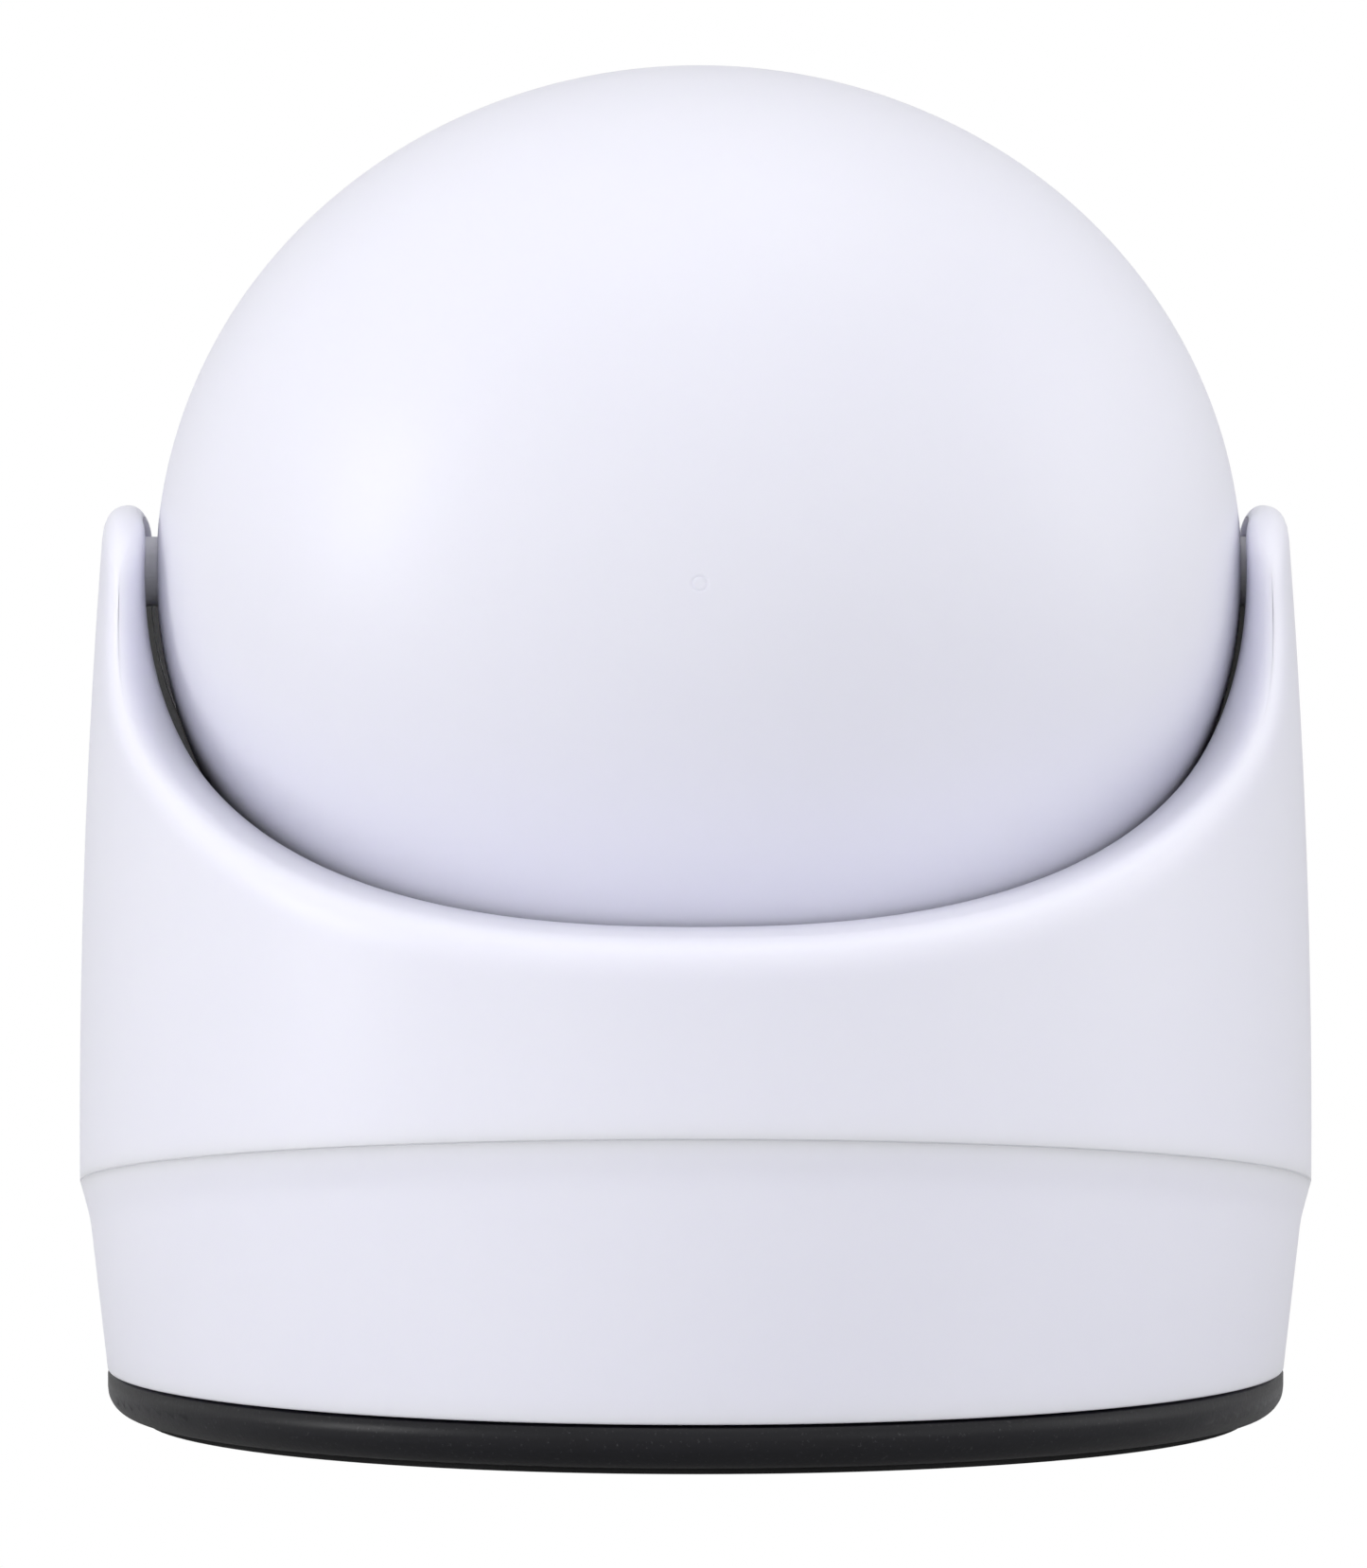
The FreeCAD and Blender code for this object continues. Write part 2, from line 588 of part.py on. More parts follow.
def head_front_shell():
    shell = head_shell().common(front_half(HEAD_SEAM_Y))
    shell = shell.cut(cylinder_y(FACE_RADIUS, 30, 60))
    slot = box((HEAD_SHIFT - CARD_HALF_WIDTH - 0.4, 30, CARD_Z - 0.8),
               (HEAD_SHIFT + CARD_HALF_WIDTH + 0.4, 50, CARD_Z + 0.8))
    return shell.cut(slot).cut(cylinder_y(1.8, 20, 50, BUTTON_X, CARD_Z))


def face_plate():
    plate = head_skin(0.1).cut(head_skin(WALL)).common(cylinder_y(FACE_RADIUS - 0.05, 20, 60))
    plate = plate.cut(cylinder_y(LENS_BEZEL_RADIUS, 20, 60))
    return plate.cut(cylinder_y(0.8, 30, 60, HEAD_SHIFT, TILT_AXIS_Z - 16.5))


def lens_bezel():
    ring = cylinder_y(LENS_BEZEL_RADIUS - 0.05, 33.0, 60).common(head_skin(0.1))
    cone = Part.makeCone(BARREL_RADIUS + 0.1, LENS_BEZEL_RADIUS - 0.9, 8.0,
                         Vector(HEAD_SHIFT, 37.8, TILT_AXIS_Z), Y_AXIS)
    return ring.cut(cylinder_y(BARREL_RADIUS + 0.05, 30, 60)).cut(cone)


def lens_barrel():
    outer = cylinder_y(BARREL_RADIUS, 22.0, 38.0)
    return outer.cut(cylinder_y(6.2, 21, 39)).fuse(
        cylinder_y(6.2, 22.0, 23.2).cut(cylinder_y(3.4, 21, 24)))


def lens_front():
    """Domed front element."""
    curve = 9.0
    edge = 35.5
    centre = edge - math.sqrt(curve ** 2 - 6.15 ** 2)
    ball = Part.makeSphere(curve, Vector(HEAD_SHIFT, centre, TILT_AXIS_Z))
    return cylinder_y(6.15, edge - 2.0, 60).common(ball)


def lens_inner():
    return cylinder_y(6.15, 27.0, 30.0)


def filter_housing():
    """Box behind the lens with a slot for the moving filter."""
    y = (17.6, 22.0)
    housing = box((HEAD_SHIFT - 12, y[0], TILT_AXIS_Z - 7.5), (HEAD_SHIFT + 12, y[1], TILT_AXIS_Z + 7.5))
    slot = box((HEAD_SHIFT - 10.5, 19.0, TILT_AXIS_Z - 5.0), (HEAD_SHIFT + 10.5, 20.6, TILT_AXIS_Z + 5.0))
    return housing.cut(slot).cut(cylinder_y(3.2, 10, 30))


def filter_slide():
    """Carrier with the infrared-cut filter, which moves aside at night."""
    return box((HEAD_SHIFT - 9.8, 19.3, TILT_AXIS_Z - 4.6), (HEAD_SHIFT + 3.4, 20.3, TILT_AXIS_Z + 4.6))


def sensor_board():
    return box((HEAD_SHIFT - 13.5, 15.0, TILT_AXIS_Z - 13.5), (HEAD_SHIFT + 13.5, 16.4, TILT_AXIS_Z + 13.5))


def image_sensor():
    return box((HEAD_SHIFT - 4, 16.4, TILT_AXIS_Z - 4), (HEAD_SHIFT + 4, 17.5, TILT_AXIS_Z + 4))


def infrared_board():
    ring = cylinder_y(20.0, 31.0, 32.2).cut(cylinder_y(LENS_BEZEL_RADIUS + 0.5, 30, 40))
    return ring


def infrared_lamps():
    """Eight small domed lamps round the lens."""
    lamps = []
    for x, z in around(8, 15.6, math.radians(22.5)):
        place = (HEAD_SHIFT + x, TILT_AXIS_Z + z)
        dome = Part.makeSphere(2.1, Vector(place[0], 35.0, place[1]))
        dome = dome.common(cylinder_y(3, 35.0, 40, place[0], place[1]))
        lamps.append(cylinder_y(2.1, 32.2, 35.0, place[0], place[1]).fuse(dome))
    return Part.makeCompound(lamps)


def light_sensor():
    return box((HEAD_SHIFT - 1.2, 32.2, TILT_AXIS_Z + 16.2), (HEAD_SHIFT + 1.2, 34.0, TILT_AXIS_Z + 18.6))


def status_lamp():
    """Light pipe that ends flush in the face."""
    pipe = cylinder_y(0.75, 34.2, 60, HEAD_SHIFT, TILT_AXIS_Z - 16.5).common(head_skin(0.1))
    return pipe.fuse(box((HEAD_SHIFT - 1.2, 32.2, TILT_AXIS_Z - 17.7),
                         (HEAD_SHIFT + 1.2, 34.2, TILT_AXIS_Z - 15.3)))


def microphone():
    return cylinder_y(2.0, 32.2, 34.0, HEAD_SHIFT + 17.2, TILT_AXIS_Z)


def head_chassis():
    """Plate across the head that holds the camera in front and the tilt motor behind."""
    plate = cylinder_y(38.0, CHASSIS_Y[0], CHASSIS_Y[1])
    arm = box((TILT_MOTOR_X[0] - 2.0, TILT_MOTOR_Y - 9, TILT_AXIS_Z - 9),
              (TILT_MOTOR_X[0], CHASSIS_Y[0] + 1, TILT_AXIS_Z + 9))
    keep_clear = cylinder_x(4.4, -60, 0)
    spacers = [cylinder_y(2.0, CHASSIS_Y[1] - 1, 15.0, HEAD_SHIFT + x, TILT_AXIS_Z + z)
               for x in (-11, 11) for z in (-11, 11)]
    long_spacers = [cylinder_y(1.8, CHASSIS_Y[1] - 1, 31.0, HEAD_SHIFT + x, TILT_AXIS_Z + z)
                    for x, z in around(3, 18.5, math.radians(90))]
    shaft_hole = cylinder_x(3.9, -60, TILT_MOTOR_X[0] + 1, TILT_PINION_Y)
    frame = plate.fuse(spacers + long_spacers)
    frame = frame.fuse(arm.cut(keep_clear).cut(shaft_hole))
    gear_room = cylinder_x(TILT_GEAR_TEETH * TILT_MODULE / 2 + 1.4, -60, TILT_GEAR_X[1] + 0.6)
    return frame.cut(gear_room)


def tilt_motor():
    can = cylinder_x(TILT_MOTOR_RADIUS, TILT_MOTOR_X[0], TILT_MOTOR_X[1], TILT_MOTOR_Y)
    collar = cylinder_x(3.6, TILT_MOTOR_X[0] - 2.0, TILT_MOTOR_X[0], TILT_PINION_Y)
    bore = cylinder_x(SHAFT_RADIUS + SHAFT_GAP, -60, TILT_MOTOR_X[0] + 4, TILT_PINION_Y)
    return can.fuse(collar).cut(bore)


def tilt_shaft():
    return cylinder_x(SHAFT_RADIUS, TILT_GEAR_X[0] - 0.4, TILT_MOTOR_X[0] + 3.5, TILT_PINION_Y)


def tilt_gear():
    """Gear fixed on the left pivot, which the head's pinion rolls round."""
    wheel = lay_along_x(gear(TILT_GEAR_TEETH, TILT_MODULE, TILT_GEAR_THICK, PIVOT_RADIUS))
    wheel.translate(Vector(TILT_GEAR_X[0], 0, TILT_AXIS_Z))
    return wheel


def tilt_pinion():
    phase = math.pi / TILT_PINION_TEETH
    wheel = lay_along_x(gear(TILT_PINION_TEETH, TILT_MODULE, TILT_GEAR_THICK, SHAFT_RADIUS, phase))
    wheel.translate(Vector(TILT_GEAR_X[0], TILT_PINION_Y, TILT_AXIS_Z))
    return wheel


def pivot_bush(side):
    """Plain bearing in the head's side that turns on the boss."""
    inner, step, outer = side * 44.4, side * 46.0, side * 47.2 + HEAD_SHIFT
    flange = cylinder_x(6.0, *sorted((inner, step)))
    sleeve = cylinder_x(PIVOT_HOLE, *sorted((inner, outer)))
    ring = flange.fuse(sleeve).cut(cylinder_x(PIVOT_RADIUS + SHAFT_GAP, -60, 60))
    return ring.common(head_skin(WALL).fuse(cylinder_x(PIVOT_HOLE, -60, 60)))


def head_screws():
    screws = []
    for x, z in around(4, 34.0, math.radians(45)):
        place = (HEAD_SHIFT + x, TILT_AXIS_Z + z)
        screws.append(cylinder_y(2.0, CHASSIS_Y[0] - 1.4, CHASSIS_Y[0], place[0], place[1]))
    return Part.makeCompound(screws)


def card_socket():
    """Thin metal cage that holds the memory card."""
    cage = box((HEAD_SHIFT - 7, 21.0, CARD_Z - 1.3), (HEAD_SHIFT + 7, 33.8, CARD_Z + 1.3))
    hollow = box((HEAD_SHIFT - CARD_HALF_WIDTH - 0.3, 22.0, CARD_Z - 0.8),
                 (HEAD_SHIFT + CARD_HALF_WIDTH + 0.3, 36.0, CARD_Z + 0.8))
    return cage.cut(hollow)


def memory_card():
    card = box((HEAD_SHIFT - CARD_HALF_WIDTH, 22.4, CARD_Z - 0.4),
               (HEAD_SHIFT + CARD_HALF_WIDTH, 37.4, CARD_Z + 0.4))
    return card


def reset_button():
    """Small recessed button beside the card slot. Its end follows the head's skin."""
    cap = cylinder_y(1.45, 30.0, 60.0, BUTTON_X, CARD_Z).common(head_skin(0.3))
    collar = cylinder_y(2.4, 29.0, 30.0, BUTTON_X, CARD_Z)
    return cap.fuse(collar)


def reset_switch():
    """Tactile switch behind the button."""
    return box((BUTTON_X - 3, 24.0, CARD_Z - 3), (BUTTON_X + 3, 27.6, CARD_Z + 3))


# ---- write every piece --------------------------------------------------------------------
PIECES = {
    "foot_dish": foot_dish,
    "base_plate": base_plate,
    "pad_ring": pad_ring,
    "tripod_insert": tripod_insert,
    "power_board": power_board,
    "power_socket": power_socket,
    "socket_tongue": socket_tongue,
    "foot_screws": foot_screws,
    "pan_gear": pan_gear,
    "thrust_washer": thrust_washer,
    "retaining_clip": retaining_clip,
    "drum_shell": drum_shell,
    "drum_skirt": drum_skirt,
    "cradle_liner": cradle_liner,
    "drum_floor": drum_floor,
    "pan_bush": pan_bush,
    "pan_bracket": pan_bracket,
    "pan_motor": pan_motor,
    "pan_shaft": pan_shaft,
    "pan_pinion": pan_pinion,
    "main_board": main_board,
    "board_chips": board_chips,
    "board_connectors": board_connectors,
    "wifi_antenna": wifi_antenna,
    "speaker_frame": speaker_frame,
    "speaker_cone": speaker_cone,
    "speaker_magnet": speaker_magnet,
    "grille_mesh": grille_mesh,
    "drum_screws": drum_screws,
    "tilt_gear": tilt_gear,
    "head_rear_shell": head_rear_shell,
    "head_front_shell": head_front_shell,
    "face_plate": face_plate,
    "lens_bezel": lens_bezel,
    "lens_barrel": lens_barrel,
    "lens_front": lens_front,
    "lens_inner": lens_inner,
    "filter_housing": filter_housing,
    "filter_slide": filter_slide,
    "sensor_board": sensor_board,
    "image_sensor": image_sensor,
    "infrared_board": infrared_board,
    "infrared_lamps": infrared_lamps,
    "light_sensor": light_sensor,
    "status_lamp": status_lamp,
    "microphone": microphone,
    "head_chassis": head_chassis,
    "tilt_motor": tilt_motor,
    "tilt_shaft": tilt_shaft,
    "tilt_pinion": tilt_pinion,
    "head_screws": head_screws,
    "card_socket": card_socket,
    "memory_card": memory_card,
    "reset_button": reset_button,
    "reset_switch": reset_switch,
}

for piece_name, make_piece in PIECES.items():
    save(piece_name, make_piece())

for side_name, side in (("left", -1), ("right", 1)):
    save("pivot_boss_" + side_name, pivot_boss(side))
    save("pivot_bush_" + side_name, pivot_bush(side))
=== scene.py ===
# %% [markdown]
# # An indoor pan and tilt camera, seen from behind
# The frame that this lesson starts from holds every working piece of the camera at its real size:
# the foot, the drum, the ball head and the drives inside. The outer casings are made again here as
# smooth surfaces with rounded rims, and every piece gets a finish. Lengths are in metres.

# %% Load the frame
import json
import math

import bmesh
import bpy
import numpy as np
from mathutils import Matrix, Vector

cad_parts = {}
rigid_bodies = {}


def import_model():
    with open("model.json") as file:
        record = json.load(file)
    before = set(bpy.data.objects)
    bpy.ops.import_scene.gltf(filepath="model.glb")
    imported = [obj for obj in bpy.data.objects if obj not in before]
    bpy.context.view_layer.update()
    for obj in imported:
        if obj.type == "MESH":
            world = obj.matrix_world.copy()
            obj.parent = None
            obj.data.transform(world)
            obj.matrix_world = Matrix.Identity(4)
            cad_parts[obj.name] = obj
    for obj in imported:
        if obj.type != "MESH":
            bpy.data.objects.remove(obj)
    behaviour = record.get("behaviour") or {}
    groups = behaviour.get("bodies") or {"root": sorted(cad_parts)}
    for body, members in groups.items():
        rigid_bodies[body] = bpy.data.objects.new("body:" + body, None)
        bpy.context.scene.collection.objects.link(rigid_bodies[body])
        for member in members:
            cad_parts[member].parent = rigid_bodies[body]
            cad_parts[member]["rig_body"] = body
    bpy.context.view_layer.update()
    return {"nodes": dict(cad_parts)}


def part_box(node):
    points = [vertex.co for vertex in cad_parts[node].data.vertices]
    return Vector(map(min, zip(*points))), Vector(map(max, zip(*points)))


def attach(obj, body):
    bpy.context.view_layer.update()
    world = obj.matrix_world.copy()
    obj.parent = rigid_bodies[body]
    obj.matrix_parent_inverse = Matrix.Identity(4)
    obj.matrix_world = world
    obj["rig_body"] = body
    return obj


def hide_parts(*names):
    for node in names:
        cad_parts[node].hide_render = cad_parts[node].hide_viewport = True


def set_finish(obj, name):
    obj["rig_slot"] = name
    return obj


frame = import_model()
nodes = frame["nodes"]
MM = 0.001

# %% [markdown]
# ## Where the viewer stands
# A product picture is taken from far away with a long lens, so that the near rim and the far rim
# look the same size. The camera stands a metre behind the object and a little above its tilt axis.

# %% Camera
VIEW_FROM = (-1.1 * MM, -1000 * MM, 100.3 * MM)
VIEW_TO = (-1.1 * MM, 0.0, 57.6 * MM)
lens = bpy.data.cameras.new("long_lens")
lens.lens = 253.2
lens.clip_start = 0.05
viewer = bpy.data.objects.new("viewer", lens)
bpy.context.scene.collection.objects.link(viewer)
viewer.location = VIEW_FROM
view_drop = math.atan2(VIEW_FROM[2] - VIEW_TO[2], VIEW_TO[1] - VIEW_FROM[1])
viewer.rotation_euler = (math.pi / 2 - view_drop, 0, 0)
bpy.context.scene.camera = viewer
print("camera looks down by", round(math.degrees(view_drop), 2), "degrees")

# %% [markdown]
# ## Sizes that the surfaces share
# The foot, the drum and the head are read from the frame. The few shapes that a box can't tell,
# such as the flare of the notch that the head shows through, are named here once.

# %% Driving sizes
rear_low, rear_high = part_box("head_rear_shell")
boss_low, boss_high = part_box("pivot_boss_left")
TILT_Z = (boss_low.z + boss_high.z) / 2
FOOT_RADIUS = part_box("foot_dish")[1].x
SKIRT_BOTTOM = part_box("drum_skirt")[0].z
EAR_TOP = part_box("drum_shell")[1].z
HEAD_RADIUS = -rear_low.y
HEAD_X = (rear_low.x + rear_high.x) / 2
HEAD_SEAM_Y = rear_high.y
HEAD_HALF_WIDTH = 49.2 * MM
DRUM_RADIUS = 55.9 * MM
DRUM_WIDEST_Z = 25.0 * MM
DRUM_ARC = 700.0 * MM
CREASE_Z = 21.2 * MM
CREASE_SLOPE = 0.147
CREASE_RADIUS = 55.85 * MM
BOWL_HALF_WIDTH = 50.0 * MM
BOWL_RADIUS = 46.3 * MM
print("tilt axis", round(TILT_Z / MM, 2), "ear top", round(EAR_TOP / MM, 1), "head radius",
      round(HEAD_RADIUS / MM, 1), "mm")


# %% [markdown]
# ## From grids to pieces
# Most pieces here are one grid of points: rows go across the surface and columns go round it. One
# helper joins neighbouring points into four-sided faces, and another closes the poles, turns all
# faces to the outside and keeps real corners crisp while the rest is shaded smooth.

# %% Grid helpers
def grid_mesh(name, points, close_rows=True):
    """Mesh from an array of points [column, row]. Columns always join up round the piece.
    Point number is column times rows plus row, and each face takes four neighbours."""
    columns, rows = points.shape[:2]
    c, r = np.meshgrid(np.arange(columns), np.arange(rows if close_rows else rows - 1), indexing="ij")
    next_c, next_r = (c + 1) % columns, (r + 1) % rows
    faces = np.stack([c * rows + r, next_c * rows + r, next_c * rows + next_r, c * rows + next_r], -1)
    mesh = bpy.data.meshes.new(name)
    mesh.from_pydata(points.reshape(-1, 3).tolist(), [], faces.reshape(-1, 4).tolist())
    return mesh


CORNER = math.radians(38)
MERGE_WITHIN = 0.002 * MM
SHORTEST_EDGE = 1e-7


def tidy_mesh(mesh):
    """Merge points that coincide, turn faces outwards and shade smooth between real corners."""
    work = bmesh.new()
    work.from_mesh(mesh)
    bmesh.ops.remove_doubles(work, verts=work.verts, dist=MERGE_WITHIN)
    bmesh.ops.dissolve_degenerate(work, dist=SHORTEST_EDGE, edges=work.edges)
    bmesh.ops.recalc_face_normals(work, faces=work.faces)
    work.to_mesh(mesh)
    work.free()
    shade_smooth(mesh)


def shade_smooth(mesh, corner=CORNER):
    """Smooth shading that stops at edges sharper than the given angle."""
    mesh.polygons.foreach_set("use_smooth", np.ones(len(mesh.polygons), bool))
    mesh.set_sharp_from_angle(angle=corner)
    mesh.update()


def open_edges(mesh):
    """How many edges don't have exactly two faces: zero on a closed piece."""
    work = bmesh.new()
    work.from_mesh(mesh)
    found = sum(1 for edge in work.edges if len(edge.link_faces) != 2)
    work.free()
    return found


def new_object(name, mesh):
    """An object at the origin that shows a mesh."""
    piece = bpy.data.objects.new(name, mesh)
    bpy.context.scene.collection.objects.link(piece)
    return piece


def place_piece(piece, body, slot, *stands_for):
    """The finished piece moves with a body, stands for CAD nodes and takes a slot's finish."""
    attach(piece, body)
    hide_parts(*stands_for)
    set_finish(piece, slot)
    print(piece.name, "faces", len(piece.data.polygons), "open edges", open_edges(piece.data))
    return piece


def turned_points(profile, steps, axis, centre):
    """Grid of a profile of (radius, place) points turned about the x or y axis through centre."""
    profile = np.asarray(profile, float)
    angle = np.linspace(0, 2 * np.pi, steps, endpoint=False)[:, None]
    radius, place = profile[None, :, 0], profile[None, :, 1] + 0 * angle
    a, b = radius * np.cos(angle), radius * np.sin(angle)
    parts = (place, a, b) if axis == "x" else (b, place, a)
    return np.stack(parts, -1) + np.asarray(centre)


def rounded_profile(corners, steps=5):
    """Closed outline with a soft round at each corner, from (radius, height, size) corners.
    Each round is a quadratic curve that starts and ends one size away from its corner."""
    corners = np.array(corners, float)
    outline = []
    for before, here, after in zip(np.roll(corners, 1, 0), corners, np.roll(corners, -1, 0)):
        corner, size = here[:2], here[2]
        back = (before[:2] - corner) / np.linalg.norm(before[:2] - corner)
        onward = (after[:2] - corner) / np.linalg.norm(after[:2] - corner)
        share = np.linspace(0, 1, steps if size > 0 else 1)[:, None]
        start, end = corner + back * size, corner + onward * size
        outline.append((1 - share) ** 2 * start + 2 * share * (1 - share) * corner + share ** 2 * end)
    return np.concatenate(outline)


def cut_away(piece, cutters):
    """Subtract closed meshes from a piece, once and for good, and drop the cutters."""
    for cutter in cutters:
        modifier = piece.modifiers.new("cut", "BOOLEAN")
        modifier.operation = "DIFFERENCE"
        modifier.solver = "MANIFOLD"
        modifier.object = cutter
    bpy.context.view_layer.update()
    graph = bpy.context.evaluated_depsgraph_get()
    mesh = bpy.data.meshes.new_from_object(piece.evaluated_get(graph))
    piece.modifiers.clear()
    piece.data = mesh
    for cutter in cutters:
        bpy.data.objects.remove(cutter)
    shade_smooth(piece.data)


# %% [markdown]
# ## The drum's upper casing
# On the real camera this is one moulding: a barrel-shaped wall that rises into two ears, with a
# U-shaped notch cut from front to back that the ball head looks through. Its rim is softly rounded.
# It could be cut with booleans and bevelled, but the bevel would have to run round an edge whose
# angle changes from a right angle at the back to a thin wedge at the ears. So the casing is
# described as a formula instead: one distance for the wall, one for the notch, one for the ears'
# crowns and one for the hollow, joined with a smooth maximum. A grid that lies close to the shape is
# then pulled onto it, and the rounding comes out even all the way round.

# %% The casing as a formula
NOTCH_HALF_WIDTH = 49.0 * MM
NOTCH_FLARE = 0.12
NOTCH_DEPTH = 30.3 * MM
NOTCH_POWER = 2.42
CROWN_RADIUS = 26.3 * MM
CROWN_Z = EAR_TOP - CROWN_RADIUS
CROWN_REACH = 20.0 * MM
EAR_BEGINS, EAR_COMPLETE = 56.0 * MM, 70.0 * MM
EAR_SLOPE = 0.08
BEVEL_START = 9.5 * MM
BEVEL_BEND = 2.0 * MM
BEVEL_SLOPE = 0.26
RIM_SOFTNESS = 3.4 * MM
CROWN_SOFTNESS = 3.0 * MM
LIP_SOFTNESS = 0.5 * MM


def ease(value, start, end):
    """Smooth step from 0 at start to 1 at end."""
    share = np.clip((value - start) / (end - start), 0, 1)
    return share ** 2 * (3 - 2 * share)


def wall_radius(z):
    """Radius of the barrel: a long arc that is widest just above the crease."""
    return DRUM_RADIUS - DRUM_ARC + np.sqrt(DRUM_ARC ** 2 - (z - DRUM_WIDEST_Z) ** 2)


def notch_half_width(y, z):
    """Half the notch's width. Below, it grows in a straight line away from the middle. Along the
    ears it grows slowly at first and then in a steeper bevel, which turns the ear's edge outwards."""
    away = np.abs(y)
    bend = np.clip((away - BEVEL_START) / BEVEL_BEND, 0, 1) ** 2 * BEVEL_BEND / 2
    beyond = bend + np.maximum(away - BEVEL_START - BEVEL_BEND, 0)
    along_ear = EAR_SLOPE * away + BEVEL_SLOPE * beyond
    share = ease(z, EAR_BEGINS, EAR_COMPLETE)
    return NOTCH_HALF_WIDTH + (1 - share) * NOTCH_FLARE * away + share * along_ear


def notch_distance(p):
    """Roughly how far a point is inside the notch, which is cut away. Below the tilt axis the
    notch is a superellipse, and above it the sides are straight."""
    x, y, z = p[..., 0], p[..., 1], p[..., 2]
    half = notch_half_width(y, z)
    across, down = np.abs(x) / half, np.maximum(TILT_Z - z, 0) / NOTCH_DEPTH
    level = (across ** NOTCH_POWER + down ** NOTCH_POWER + 1e-9) ** (1 / NOTCH_POWER)
    slope_x = (across / level) ** (NOTCH_POWER - 1) / half
    slope_z = (down / level) ** (NOTCH_POWER - 1) / NOTCH_DEPTH
    return (1 - level) / np.sqrt(slope_x ** 2 + slope_z ** 2 + 1e-9)


def crown_distance(p):
    """How far a point is above the round crown of an ear, which ends where the ear does."""
    sideways = np.minimum(np.abs(p[..., 1]), CROWN_REACH)
    return np.hypot(sideways, np.maximum(p[..., 2] - CROWN_Z, 0)) - CROWN_RADIUS


def bowl_distance(p):
    """How far a point is inside the hollow, a ball stretched along the tilt axis."""
    x, y, z = p[..., 0], p[..., 1], p[..., 2] - TILT_Z
    level = np.sqrt((x / BOWL_HALF_WIDTH) ** 2 + (y ** 2 + z ** 2) / BOWL_RADIUS ** 2)
    steep = np.sqrt((x / BOWL_HALF_WIDTH ** 2) ** 2 + (y ** 2 + z ** 2) / BOWL_RADIUS ** 4)
    return (1 - level) * level / (steep + 1e-9)


def smooth_max(a, b, width):
    """The larger of two distances, with a soft change-over of the given width."""
    near = np.maximum(width - np.abs(a - b), 0) / width
    return np.maximum(a, b) + near ** 2 * width / 4


def casing_distance(p):
    """Outside is positive, inside is negative, and the casing's skin is zero."""
    wall = np.hypot(p[..., 0], p[..., 1]) - wall_radius(p[..., 2])
    body = smooth_max(wall, notch_distance(p), RIM_SOFTNESS)
    body = smooth_max(body, bowl_distance(p), LIP_SOFTNESS)
    return smooth_max(body, crown_distance(p), CROWN_SOFTNESS)


def slope_of(distance, points):
    """Gradient of a distance, from its change over a thousandth of a millimetre each way."""
    step = 1e-3 * MM
    return np.stack([(distance(points + step * axis) - distance(points - step * axis)) / (2 * step)
                     for axis in np.eye(3)], -1)


LONGEST_MOVE = 0.8 * MM
LEAST_SLOPE_SQUARED = 0.03


def pull_to_skin(points, distance, rounds=14):
    """Move points down the slope of a distance until it is zero, as Newton's rule says. Each move
    is kept short, because the slope changes quickly near the rim."""
    for _ in range(rounds):
        slope = slope_of(distance, points)
        size = np.maximum((slope ** 2).sum(-1), LEAST_SLOPE_SQUARED)
        move = (distance(points) / size)[..., None] * slope
        length = np.linalg.norm(move, axis=-1, keepdims=True)
        points = points - move * np.minimum(1, LONGEST_MOVE / np.maximum(length, 1e-12))
    return points


# %% [markdown]
# The sharp rim that the rounding starts from is worked out for a quarter, from the middle of the
# back to the top of an ear. Each station has three anchors: the rim on the outer wall, the corner
# on the inner side of the crown, and the edge where the notch or crown meets the hollow.

# %% The sharp rim, a quarter at a time
FARTHEST = 60.0 * MM
HALVINGS = 40
FIRST_CORNER_Y = 17.0 * MM


def far_side(x_at, is_beyond, count):
    """Distance from the middle at which a straight line leaves a region, found by halving."""
    low, high = np.zeros(count), np.full(count, FARTHEST)
    for _ in range(HALVINGS):
        middle = (low + high) / 2
        beyond = is_beyond(x_at(middle), middle)
        low, high = np.where(beyond, low, middle), np.where(beyond, middle, high)
    return (low + high) / 2


def notch_stretch():
    """Anchors along the notch, from its lowest point up to the crown. The corner where the notch,
    the crown and the wall meet is found by going round the three in turn from a first guess."""
    corner_y = FIRST_CORNER_Y
    for _ in range(30):
        corner_z = CROWN_Z + math.sqrt(CROWN_RADIUS ** 2 - corner_y ** 2)
        corner_y = math.sqrt(wall_radius(corner_z) ** 2 - notch_half_width(corner_y, corner_z) ** 2)
    angle = np.linspace(np.pi / 2, 0, 500)
    side = np.linspace(TILT_Z, corner_z, 40)[1:]
    across = np.append(np.maximum(np.cos(angle), 0) ** (2 / NOTCH_POWER), np.ones(len(side)))
    z = np.append(TILT_Z - NOTCH_DEPTH * np.sin(angle) ** (2 / NOTCH_POWER), side)

    def x_at(y):
        return across * notch_half_width(y, z)

    outer_y = far_side(x_at, lambda x, y: np.hypot(x, y) > wall_radius(z), len(z))
    edge_y = far_side(x_at, lambda x, y: bowl_distance(np.stack([x, y, z], -1)) < 0, len(z))
    outer = np.stack([x_at(outer_y), -outer_y, z], -1)
    edge = np.stack([x_at(edge_y), -edge_y, z], -1)
    return outer, outer, edge


